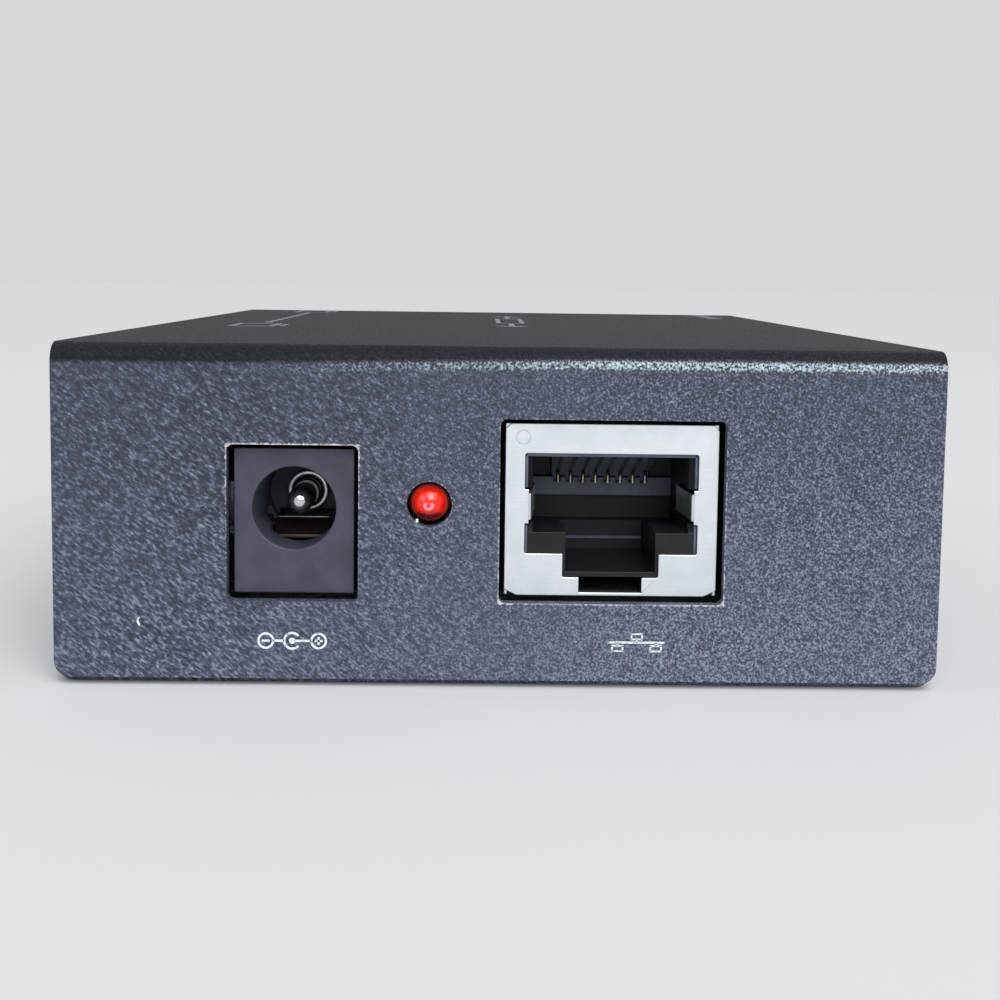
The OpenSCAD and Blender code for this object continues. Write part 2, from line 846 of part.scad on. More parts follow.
// Height of the underside of the leaf's ear below the mouth's axis
function dc_ear_z() = -dc_leaf_t - dc_crest_drop
    - (dc_ear_y + dc_ear_l / 2 - dc_leaf_crest_y)
    * (dc_leaf_root_drop - dc_crest_drop) / (dc_leaf_root_y - dc_leaf_crest_y);

module dc_jack_leaf_terminal() {
    color(dark_metal)
        at_front(dc_x)
            translate([0, dc_leaf_root_y + dc_root_gap, -tail_low])
                block(dc_terminal_w, dc_terminal_t, tail_low + dc_bore_z - dc_leaf_root_drop);
}

// The fixed contact that the leaf's ear rests under while no plug is in
module dc_jack_switch_contact() {
    tab_low = dc_bore_z + dc_ear_z() + dc_leaf_t + dc_switch_gap;
    color(dark_metal)
        at_front(dc_x)
            translate([0, dc_ear_y - dc_ear_l / 2, 0]) {
                translate([-dc_switch_x - dc_terminal_t, 0, -tail_low])
                    cube([dc_terminal_t, dc_ear_l, tail_low + tab_low + dc_leaf_t]);
                translate([-dc_switch_x - dc_terminal_t, 0, tab_low])
                    cube([dc_ear_w, dc_ear_l, dc_leaf_t]);
            }
}

module led_lens() {
    color(lamp_red)
        at_front(led_x)
            translate([0, led_l - sheet_t - face_gap, led_z])
                rotate([90, 0, 0]) {
                    cylinder(h = led_l - led_d / 2, r = led_d / 2);
                    cylinder(h = led_rim_t, r = led_rim_d / 2);
                    translate([0, 0, led_l - led_d / 2])
                        sphere(led_d / 2);
                }
}

module led_leads() {
    back_y = led_l - sheet_t - face_gap;
    color(metal)
        at_front(led_x)
            for (side = [-1, 1])
                translate([side * lead_pitch / 2, 0, 0]) {
                    translate([0, back_y, led_z - lead_t / 2])
                        block(lead_t, lead_run + lead_t, lead_t);
                    translate([0, back_y + lead_run, -tail_low])
                        block(lead_t, lead_t, tail_low + led_z);
                }
}

// The opening in the metal face: a window with a keyway and a latch slot below it
module rj_window() {
    middle = (rj_window_low + rj_window_top) / 2;
    difference() {
        translate([0, middle])
            rounded(rj_window_w, rj_window_top - rj_window_low, rj_window_r);
        for (side = [-1, 1])
            translate([side * rj_window_w / 2, rj_finger_z])
                square([2 * rj_sill, rj_finger_h + 2 * rj_finger_room], center = true);
    }
    translate([0, (rj_key_low + middle) / 2])
        rounded(rj_key_w, middle - rj_key_low, rj_window_r);
    translate([-rj_latch_w / 2, -over])
        square([rj_latch_w, middle + over]);
}

// The face of the shell, with its corners cut
module rj_face() {
    polygon([
        [-rj_w / 2 + rj_foot_cut_w, 0], [rj_w / 2 - rj_foot_cut_w, 0],
        [rj_w / 2, rj_foot_cut_h], [rj_w / 2, rj_h - rj_corner_cut],
        [rj_w / 2 - rj_corner_cut, rj_h], [-rj_w / 2 + rj_corner_cut, rj_h],
        [-rj_w / 2, rj_h - rj_corner_cut], [-rj_w / 2, rj_foot_cut_h]
    ]);
}

// The folded metal shell: face, roof, sides and back, two board legs and a tongue under the latch slot
module rj45_shell() {
    color(metal)
        at_front(rj_x) {
            difference() {
                union() {
                    upright(rj_shell_t)
                        rj_face();
                    translate([0, rj_shell_t, 0])
                        block(rj_w, rj_l - rj_shell_t, rj_h);
                }
                translate([0, rj_shell_t, -over])
                    block(rj_w - 2 * rj_shell_t, rj_l - 2 * rj_shell_t, rj_h - rj_shell_t + over);
                translate([0, -over, 0])
                    upright(rj_shell_t + 2 * over)
                        rj_window();
            }
            block(rj_latch_w, rj_shell_t, rj_shell_t);
            translate([0, rj_shell_t, 0])
                block(rj_latch_w + 2 * rj_tongue_over, rj_tongue_l - rj_shell_t, rj_shell_t);
            for (side = [-1, 1])
                translate([side * (rj_w - rj_shell_t) / 2, rj_leg_y - rj_leg_w / 2, -tail_low])
                    block(rj_shell_t, rj_leg_w, tail_low + rj_shell_t);
        }
}

// The space for the plug behind the bevelled mouth: its floor steps down behind the ledges
module rj_cavity() {
    key_floor = rj_key_low + rj_key_floor_t;
    translate([0, rj_mouth_y, rj_plug_low])
        block(rj_plug_w, rj_cavity_l - rj_mouth_y, rj_plug_top - rj_plug_low);
    translate([0, rj_ledge_l, rj_plug_low - rj_ledge_drop])
        block(rj_plug_w, rj_cavity_l - rj_ledge_l, rj_ledge_drop + over);
    translate([0, rj_mouth_y - over, key_floor])
        block(rj_key_cavity_w, rj_key_cavity_l + over - rj_mouth_y, rj_plug_low + over - key_floor);
    translate([0, rj_mouth_y - over, rj_shell_t + rj_fit])
        block(rj_latch_w, rj_latch_cavity_l + over, rj_key_low - rj_shell_t - rj_fit);
    rj_mouth_bevel();
}

// The bevel that leads the plug in, with its corners mitred by two crossing prisms
module rj_mouth_bevel() {
    y0 = rj_mouth_y - over;
    y1 = rj_mouth_y + rj_bevel;
    wide = rj_plug_w / 2 + rj_bevel + over;
    narrow = rj_plug_w / 2;
    roof = rj_plug_top + rj_window_r / 2;
    intersection() {
        linear_extrude(rj_h)
            polygon([[-wide, y0], [wide, y0], [narrow, y1], [-narrow, y1]]);
        translate([-rj_w / 2, 0, 0])
            rotate([90, 0, 90])
                linear_extrude(rj_w)
                    polygon([
                        [y0, rj_plug_low - over], [y1, rj_plug_low + rj_bevel], [y1, roof], [y0, roof]
                    ]);
    }
}

module rj45_housing() {
    color(black_plastic)
        at_front(rj_x)
            difference() {
                translate([0, rj_mouth_y, 0])
                    block(rj_inner_w, rj_inner_l, rj_inner_h);
                rj_cavity();
                translate([0, rj_wire_root_y - rj_contact_t, rj_carrier_low])
                    block(rj_roof_slot_w, rj_inner_l, rj_plug_top + rj_roof_slot_h - rj_carrier_low);
                for (side = [-1, 1])
                    translate([
                        side * rj_plug_w / 2, rj_mouth_y - over,
                        rj_finger_z - rj_finger_h / 2 - rj_finger_room
                    ])
                        block(2 * rj_finger_pocket, rj_finger_l + rj_finger_room + over,
                            rj_finger_h + 2 * rj_finger_room);
                translate([0, rj_tail_y - rj_tail_pocket, -over])
                    block(rj_roof_slot_w, rj_inner_l, rj_carrier_low + 2 * over);
                translate([0, -over, -over])
                    block(rj_latch_w + 2 * (rj_tongue_over + rj_fit), rj_tongue_l + rj_fit + over,
                        rj_shell_t + rj_fit + over);
            }
}

// The carrier across the rear of the cavity: its notched upper edge combs the tips of the wires
module rj45_contact_carrier() {
    low = rj_carrier_low + rj_fit;
    band_l = rj_cavity_l - rj_fit - rj_carrier_front_y;
    rear_y = rj_mouth_y + rj_inner_l - rj_fit;
    color(grey_plastic)
        at_front(rj_x)
            difference() {
                union() {
                    translate([0, rj_carrier_front_y, low])
                        block(rj_plug_w - 2 * rj_fit, band_l, rj_carrier_band_h);
                    translate([0, rj_carrier_front_y + rj_comb_depth, low])
                        block(rj_carrier_w, rear_y - rj_carrier_front_y - rj_comb_depth,
                            rj_carrier_top - low);
                }
                for (i = [0:rj_contact_count - 1])
                    translate([
                        rj_wire_x(i), rj_carrier_front_y - over, rj_wire_tip_z - rj_contact_t - rj_comb_room
                    ])
                        block(rj_contact_pitch / 2, rj_comb_depth + over, rj_carrier_band_h);
            }
}

function rj_wire_x(i) = (i - (rj_contact_count - 1) / 2) * rj_contact_pitch;

// The free stretch of each contact: it slopes from the front of the roof down to the rear
module rj45_contact_wires() {
    color(gold)
        at_front(rj_x)
            for (i = [0:rj_contact_count - 1])
                translate([rj_wire_x(i) - rj_contact_t / 2, 0, 0])
                    rotate([90, 0, 90])
                        linear_extrude(rj_contact_t)
                            polygon([
                                [rj_wire_root_y, rj_wire_root_z],
                                [rj_wire_root_y, rj_wire_root_z - rj_contact_t],
                                [rj_wire_tip_y, rj_wire_tip_z - rj_contact_t],
                                [rj_wire_tip_y, rj_wire_tip_z]
                            ]);
}

// The fixed stretch of each contact, from over the wire's root back along the roof to the carrier
module rj45_contact_runs() {
    run_z = rj_plug_top + rj_roof_slot_h - rj_run_gap - rj_contact_t;
    run_l = rj_carrier_front_y + rj_comb_depth - rj_run_gap - rj_wire_root_y;
    foot_z = rj_wire_root_z + rj_run_gap;
    color(gold)
        at_front(rj_x)
            for (i = [0:rj_contact_count - 1])
                translate([rj_wire_x(i), rj_wire_root_y, 0]) {
                    translate([0, 0, run_z])
                        block(rj_contact_t, run_l, rj_contact_t);
                    translate([0, 0, foot_z])
                        block(rj_contact_t, rj_contact_t, run_z + rj_contact_t - foot_z);
                }
}

// The solder tails, from under the carrier through the board, in two staggered rows
module rj45_contact_tails() {
    color(gold)
        at_front(rj_x)
            rj_tail_places()
                translate([0, -rj_tail_t / 2, -tail_low])
                    block(rj_tail_t, rj_tail_t, tail_low + rj_carrier_low + rj_fit);
}

module rj_tail_places() {
    for (i = [0:rj_contact_count - 1])
        translate([rj_wire_x(i), rj_tail_y + (i % 2) * rj_tail_row, 0])
            children();
}

// A shield finger that leans into the cavity from its root at the face
module rj_finger(side) {
    translate([side * rj_finger_root_x, rj_finger_root_y, rj_finger_z - rj_finger_h / 2])
        rotate([0, 0, side * rj_finger_lean])
            translate([side > 0 ? -rj_finger_t : 0, 0, 0])
                cube([rj_finger_t, rj_finger_l, rj_finger_h]);
}

module rj45_left_finger() {
    color(metal)
        at_front(rj_x)
            rj_finger(-1);
}

module rj45_right_finger() {
    color(metal)
        at_front(rj_x)
            rj_finger(1);
}

// The outline of the video socket, grown by a margin: wide above, narrow at the foot
module socket_outline(grow) {
    half = hdmi_w / 2 + grow;
    foot = hdmi_foot_w / 2 + grow * tan(hdmi_slope / 2);
    top = hdmi_lift + hdmi_h + grow;
    waist = hdmi_lift + hdmi_h - hdmi_side_h - grow * tan(45 - hdmi_slope / 2);
    low = hdmi_lift - grow;
    polygon([
        [-foot, low], [foot, low], [half, waist], [half, top - hdmi_corner],
        [half - hdmi_corner, top], [-half + hdmi_corner, top], [-half, top - hdmi_corner], [-half, waist]
    ]);
}

// One spring finger's slot in the shell, as a block that starts at its root
module spring_places(z) {
    for (side = [-1, 1])
        translate([side * hdmi_spring_pitch / 2, hdmi_spring_mouth, z])
            children();
}

module hdmi_shell() {
    slot_w = hdmi_spring_w + 2 * hdmi_spring_gap;
    slot_l = hdmi_spring_l + hdmi_root_gap + hdmi_spring_gap;
    color(metal)
        at_rear(hdmi_x) {
            difference() {
                union() {
                    upright(hdmi_l)
                        socket_outline(0);
                    upright(hdmi_rim_l)
                        socket_outline(hdmi_flare);
                }
                translate([0, -over, 0])
                    upright(hdmi_l - hdmi_shell_t + over)
                        socket_outline(-hdmi_shell_t);
                for (z = [hdmi_lift - over, hdmi_lift + hdmi_h - hdmi_shell_t - over])
                    spring_places(z)
                        block(slot_w, slot_l, hdmi_shell_t + 2 * over);
            }
            for (row = hdmi_slots())
                translate([row[0], row[1] - row[3] / 2, -tail_low])
                    block(row[2], row[3], tail_low + hdmi_lift + hdmi_h - hdmi_side_h + hdmi_corner);
        }
}

// The insert: a block at the back and the tongue that carries the contacts
module hdmi_housing() {
    block_y = hdmi_l - hdmi_shell_t - hdmi_block_l - hdmi_fit;
    color(black_plastic)
        at_rear(hdmi_x) {
            translate([0, block_y, 0])
                upright(hdmi_block_l)
                    socket_outline(-hdmi_shell_t - hdmi_fit);
            translate([0, hdmi_tongue_recess, hdmi_tongue_z - hdmi_tongue_t / 2])
                block(hdmi_tongue_w, block_y - hdmi_tongue_recess, hdmi_tongue_t);
        }
}

// A row of contact strips that lie on one side of the tongue
module contact_row(count, z) {
    block_y = hdmi_l - hdmi_shell_t - hdmi_block_l - hdmi_fit;
    start = hdmi_tongue_recess + hdmi_contact_w;
    for (i = [0:count - 1])
        translate([(i - (count - 1) / 2) * hdmi_pitch, start, z])
            block(hdmi_contact_w, block_y - start, hdmi_contact_t);
}

module hdmi_contacts() {
    color(gold)
        at_rear(hdmi_x) {
            contact_row(hdmi_upper_count, hdmi_tongue_z + hdmi_tongue_t / 2);
            contact_row(hdmi_upper_count - 1, hdmi_tongue_z - hdmi_tongue_t / 2 - hdmi_contact_t);
        }
}

// The feet of the contacts on the board behind the shell
module hdmi_contact_tails() {
    color(gold)
        at_rear(hdmi_x)
            for (i = [0:hdmi_tail_count - 1])
                translate([(i - (hdmi_tail_count - 1) / 2) * hdmi_tail_pitch, hdmi_l, 0]) {
                    block(hdmi_tail_w, hdmi_tail_l, hdmi_tail_t);
                    block(hdmi_tail_w, hdmi_tail_t, hdmi_lift + hdmi_shell_t);
                }
}

// One row of shell springs: rooted at the rear, leaning into the mouth at their tips
module shell_springs(z, lean) {
    root_y = hdmi_spring_l;
    for (side = [-1, 1])
        translate([side * hdmi_spring_pitch / 2, hdmi_spring_mouth + hdmi_spring_gap + root_y, z])
            rotate([lean, 0, 0])
                translate([0, -hdmi_spring_l, -hdmi_shell_t / 2])
                    block(hdmi_spring_w, hdmi_spring_l, hdmi_shell_t);
}

module hdmi_upper_springs() {
    color(metal)
        at_rear(hdmi_x)
            shell_springs(hdmi_lift + hdmi_h - hdmi_shell_t / 2, hdmi_spring_lean);
}

module hdmi_lower_springs() {
    color(metal)
        at_rear(hdmi_x)
            shell_springs(hdmi_lift + hdmi_shell_t / 2, -hdmi_spring_lean);
}

function by_shares(shares) = [shares[0] * board_w, shares[1] * board_l];

// Places a part on the board by the middle of its footprint
module on_board(at) {
    translate([at[0], at[1], board_top])
        children();
}

// A bent chip lead that starts at X zero on the body's side, at mid height, and ends on the board
module gull_lead(w, h) {
    mid = chip_stand + h / 2;
    half = (lead_out_l - lead_foot_l) / 2;
    translate([0, w / 2, 0])
        rotate([90, 0, 0])
            linear_extrude(w)
                polygon([
                    [0, mid + lead_sheet_t], [half + lead_sheet_t, mid + lead_sheet_t],
                    [half + lead_sheet_t, lead_sheet_t], [lead_out_l, lead_sheet_t],
                    [lead_out_l, 0], [half, 0], [half, mid], [0, mid]
                ]);
}

// A row of leads along the side at +X of a body
module lead_row(count, pitch, w, body_half, h) {
    for (i = [0:count - 1])
        translate([body_half, (i - (count - 1) / 2) * pitch, 0])
            gull_lead(w, h);
}

// A chip body with its corner mark
module chip_body(w, l, h) {
    difference() {
        translate([0, -l / 2, chip_stand])
            block(w, l, h);
        translate([chip_mark_in - w / 2, chip_mark_in - l / 2, chip_stand + h - lead_sheet_t])
            cylinder(h = lead_sheet_t + over, r = chip_mark_r);
    }
}

module main_chip() {
    color(chip_black)
        on_board(by_shares(main_chip_shares))
            chip_body(main_chip_w, main_chip_w, chip_h - chip_stand);
}

module main_chip_leads() {
    color(metal)
        on_board(by_shares(main_chip_shares))
            for (turn = [0:90:270])
                rotate([0, 0, turn])
                    lead_row(main_lead_count, main_lead_pitch, main_lead_w, main_chip_w / 2, chip_h / 2);
}

module line_transformer() {
    color(chip_black)
        on_board(transformer_at)
            chip_body(transformer_w, transformer_l, transformer_h - chip_stand);
}

module line_transformer_leads() {
    color(metal)
        on_board(transformer_at)
            for (turn = [90, 270])
                rotate([0, 0, turn])
                    lead_row(transformer_lead_count, transformer_lead_pitch, transformer_lead_w,
                        transformer_l / 2, chip_h / 2);
}

module memory_chip() {
    color(chip_black)
        on_board(by_shares(memory_shares))
            chip_body(memory_w, memory_l, chip_h - chip_stand);
}

module memory_chip_leads() {
    color(metal)
        on_board(by_shares(memory_shares))
            for (turn = [0, 180])
                rotate([0, 0, turn])
                    lead_row(memory_lead_count, memory_lead_pitch, memory_lead_w, memory_w / 2, chip_h / 2);
}

module voltage_regulator() {
    color(chip_black)
        on_board(regulator_at)
            chip_body(regulator_l, regulator_w, regulator_h - chip_stand);
}

module voltage_regulator_leads() {
    color(metal)
        on_board(regulator_at) {
            lead_row(regulator_lead_count, regulator_lead_pitch, regulator_lead_w,
                regulator_l / 2, regulator_h / 2);
            rotate([0, 0, 180])
                lead_row(1, 0, regulator_tab_w, regulator_l / 2, regulator_h / 2);
        }
}

// A drum core between two square cheeks
module power_inductor() {
    cheek = inductor_cheek_h;
    color(grey_plastic)
        on_board(inductor_at) {
            for (z = [0, inductor_h - cheek])
                translate([0, -inductor_w / 2, z])
                    block(inductor_w, inductor_w, cheek);
            cylinder(h = inductor_h, r = inductor_w / 2 - inductor_coil_gap);
        }
}

module electrolytic_capacitors() {
    base_w = can_d + 2 * can_base_over;
    color(metal)
        for (at = cans_at)
            on_board(at) {
                translate([0, -base_w / 2, 0])
                    block(base_w, base_w, can_base_h);
                difference() {
                    cylinder(h = can_h, r = can_d / 2);
                    translate([0, 0, can_base_h])
                        difference() {
                            cylinder(h = can_neck_h, r = can_d);
                            cylinder(h = can_neck_h, r = can_d / 2 - can_neck_depth);
                        }
                }
            }
}

module crystal() {
    r = crystal_w / 2;
    color(metal)
        on_board(by_shares(crystal_shares))
            linear_extrude(crystal_h) {
                square([crystal_l - crystal_w, crystal_w], center = true);
                for (side = [-1, 1])
                    translate([side * (crystal_l - crystal_w) / 2, 0])
                        circle(r);
            }
}

module surge_arrays() {
    row_y = seat_y - hdmi_l - hdmi_tail_l - array_back;
    color(chip_black)
        for (i = [0:array_count - 1])
            on_board([hdmi_x + (i - (array_count - 1) / 2) * array_pitch, row_y])
                block(array_w, array_l, array_h);
}

module chip_part() {
    block(chip_part_l, chip_part_w, chip_part_h);
}

module ceramic_capacitors() {
    corner = by_shares(ceramic_shares);
    color(ceramic) {
        for (i = [0:ceramic_rows - 1], side = [0, 1])
            on_board([corner[0] + side * ceramic_pitch, corner[1] + i * ceramic_pitch])
                chip_part();
        for (i = [0:network_row_count - 1])
            on_board([rj_x + (i - (network_row_count - 1) / 2) * network_row_pitch, network_row_y])
                chip_part();
    }
}

module chip_resistors() {
    color(chip_black)
        for (i = [0:resistor_rows - 1], side = [0, 1])
            on_board([resistor_at[0] + side * ceramic_pitch, resistor_at[1] + i * resistor_pitch])
                chip_part();
}

upper_cover();
cover_brackets();
lower_tray();
cover_screws();
circuit_board();
board_standoffs();
board_screws();
dc_jack_body();
dc_jack_pin();
dc_jack_leaf();
dc_jack_leaf_terminal();
dc_jack_switch_contact();
led_lens();
led_leads();
rj45_shell();
rj45_housing();
rj45_contact_carrier();
rj45_contact_wires();
rj45_contact_runs();
rj45_contact_tails();
rj45_left_finger();
rj45_right_finger();
hdmi_shell();
hdmi_housing();
hdmi_contacts();
hdmi_contact_tails();
hdmi_upper_springs();
hdmi_lower_springs();
main_chip();
main_chip_leads();
line_transformer();
line_transformer_leads();
memory_chip();
memory_chip_leads();
voltage_regulator();
voltage_regulator_leads();
power_inductor();
electrolytic_capacitors();
crystal();
surge_arrays();
ceramic_capacitors();
chip_resistors();
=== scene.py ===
"""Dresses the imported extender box: finishes, printed signs and small metalwork, with a plain studio round it.

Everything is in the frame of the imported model: the front looks along -Y and Z is up. Class fields are in
millimetres, and what is handed to Blender is in metres.
"""

import json
import logging
import math
import random
from dataclasses import dataclass
from enum import Enum
from typing import Any, Sequence

import bmesh
import bpy
from mathutils import Matrix, Vector


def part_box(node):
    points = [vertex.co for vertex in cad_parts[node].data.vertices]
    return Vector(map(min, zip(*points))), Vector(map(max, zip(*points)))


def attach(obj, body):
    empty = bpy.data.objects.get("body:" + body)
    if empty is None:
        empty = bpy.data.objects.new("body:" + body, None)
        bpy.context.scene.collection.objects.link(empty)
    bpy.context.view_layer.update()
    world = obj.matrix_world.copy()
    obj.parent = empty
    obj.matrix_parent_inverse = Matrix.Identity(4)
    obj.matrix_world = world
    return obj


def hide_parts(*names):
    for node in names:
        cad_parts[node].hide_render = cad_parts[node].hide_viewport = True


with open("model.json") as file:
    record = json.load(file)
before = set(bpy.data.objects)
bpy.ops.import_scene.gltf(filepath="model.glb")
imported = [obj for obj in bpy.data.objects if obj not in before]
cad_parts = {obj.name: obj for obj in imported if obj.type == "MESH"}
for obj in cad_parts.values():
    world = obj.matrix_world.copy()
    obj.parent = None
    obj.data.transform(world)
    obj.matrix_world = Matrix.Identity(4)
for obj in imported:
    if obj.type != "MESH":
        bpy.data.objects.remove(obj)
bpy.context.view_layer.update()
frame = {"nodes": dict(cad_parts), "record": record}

MM = 0.001
CHASSIS = "chassis"
LOG = logging.getLogger("extender")
Point2 = tuple[float, float]
Point3 = tuple[float, float, float]


class Side(Enum):
    """A side of the box that carries print: its right, its up and its outward direction."""

    FRONT = ((1, 0, 0), (0, 0, 1), (0, -1, 0))
    REAR = ((-1, 0, 0), (0, 0, 1), (0, 1, 0))
    TOP = ((0, 1, 0), (-1, 0, 0), (0, 0, 1))


class Bend(Enum):
    """The plane in which a strip of sheet is bent."""

    LEVEL = "XY"
    UPRIGHT = "YZ"


def linear(hex_colour: str) -> tuple[float, float, float, float]:
    """Turns an sRGB hex colour into the linear values that a shader takes.

    Args:
        hex_colour: six hex digits after a hash.

    Returns:
        Linear red, green and blue, and an alpha of one.
    """
    channels = []
    for start in (1, 3, 5):
        value = int(hex_colour[start : start + 2], 16) / 255
        channels.append(value / 12.92 if value <= 0.04045 else ((value + 0.055) / 1.055) ** 2.4)
    return (channels[0], channels[1], channels[2], 1.0)


def per(size: float) -> float:
    """The scale at which a pattern's spots are as large as a size in millimetres."""
    return 1.0 / (size * MM)


class Nodes:
    """A node tree and the one function that adds to it."""

    def __init__(self, tree: bpy.types.NodeTree) -> None:
        """Empties the tree.

        Args:
            tree: a tree of a material or of the world.
        """
        self.tree = tree
        self.tree.nodes.clear()

    def add(self, kind: str, inputs: dict[Any, Any] | None = None, **settings: Any) -> bpy.types.Node:
        """Adds one node with its settings, constants and links.

        Args:
            kind: Blender's name of the node type, without its first word.
            inputs: socket name or index to what it gets: a constant, a hex colour, an output socket, or a node,
                whose first live output is taken.
            settings: properties of the node itself.

        Returns:
            The new node.
        """
        made = self.tree.nodes.new("ShaderNode" + kind)
        for key, value in settings.items():
            setattr(made, key, value)
        for key, value in (inputs or {}).items():
            if isinstance(value, bpy.types.Node):
                value = next(output for output in value.outputs if output.enabled)
            if isinstance(value, bpy.types.NodeSocket):
                self.tree.links.new(value, made.inputs[key])
            else:
                made.inputs[key].default_value = linear(value) if isinstance(value, str) else value
        return made


def seen_flat(n: Nodes, place: bpy.types.NodeSocket, centre: Point2) -> bpy.types.Node:
    """Draws the way from a centre to the place, as it is seen from the front.

    Args:
        n: the tree to draw in.
        place: the place on the piece.
        centre: the centre's place across the box and its height.

    Returns:
        The node of the way, with no depth in it.
    """
    way = n.add("VectorMath", {0: place, 1: (centre[0] * MM, 0, centre[1] * MM)}, operation="SUBTRACT")
    return n.add("VectorMath", {0: way, 1: (1, 0, 1)}, operation="MULTIPLY")


class Finish:
    """What every finish shares: a material whose patterns are fixed to the piece."""

    name: str

    def draw(self, n: Nodes, place: bpy.types.NodeSocket) -> bpy.types.Node:
        """Draws the surface from the place on the piece; each finish has its own.

        Args:
            n: the tree to draw in.
            place: the place on the piece.

        Returns:
            The shader's node.
        """
        raise NotImplementedError

    def build(self) -> bpy.types.Material:
        """Makes the material.

        Returns:
            The material, with the surface that the finish draws.
        """
        material = bpy.data.materials.new(self.name)
        material.use_nodes = True
        n = Nodes(material.node_tree)
        n.add("OutputMaterial", {"Surface": self.draw(n, n.add("TexCoord").outputs["Object"])})
        return material


@dataclass(frozen=True)
class Rim:
    """The rim of a punched hole in the front wall: its centre, its half sizes and how bare it is.

    The steel is bare over the skin next to the hole, and the coat is whole again where the fade ends.
    """

    x: float
    z: float
    half_w: float
    half_h: float
    is_round: bool = False
    worn: float = 1.0
    worn_foot: float = 0.7
    skin: float = 0.06
    fade: float = 0.3

    def bare(self, n: Nodes, place: bpy.types.NodeSocket, wall: float) -> bpy.types.Node:
        """Draws the share of bare steel.

        Args:
            n: the tree to draw in.
            place: the place on the piece.
            wall: half the depth of the box, less the wear of the rim.

        Returns:
            The last node of the share.
        """
        depth = n.add("SeparateXYZ", {0: place}).outputs[1]
        outer = n.add("MapRange", {"Value": depth, "From Min": -wall * MM, "From Max": -(wall + self.skin) * MM})
        flat = seen_flat(n, place, (self.x, self.z))
        if self.is_round:
            reach = n.add("VectorMath", {0: flat}, operation="LENGTH")
            share = n.add("MapRange", {"Value": reach, "From Min": (self.half_w + self.fade) * MM,
                                       "From Max": (self.half_w + self.skin / 2) * MM, "To Max": self.worn})
        else:
            size = n.add("VectorMath", {0: flat}, operation="ABSOLUTE")
            over = n.add("VectorMath", {0: size, 1: (self.half_w * MM, 0, self.half_h * MM)}, operation="SUBTRACT")
            outside = n.add("VectorMath", {0: over, 1: (0, 0, 0)}, operation="MAXIMUM")
            gap = n.add("VectorMath", {0: outside}, operation="LENGTH")
            near = n.add("MapRange", {"Value": gap, "From Min": self.fade * MM, "From Max": self.skin * MM})
            # The rim that was sheared last crumbles most
            level = n.add("MapRange", {"Value": n.add("SeparateXYZ", {0: flat}).outputs[2],
                                       "From Min": -self.half_h * MM, "From Max": self.half_h * MM,
                                       "To Min": self.worn_foot, "To Max": self.worn})
            share = n.add("Math", {0: near, 1: level}, operation="MULTIPLY")
        return n.add("Math", {0: share, 1: outer}, operation="MULTIPLY")


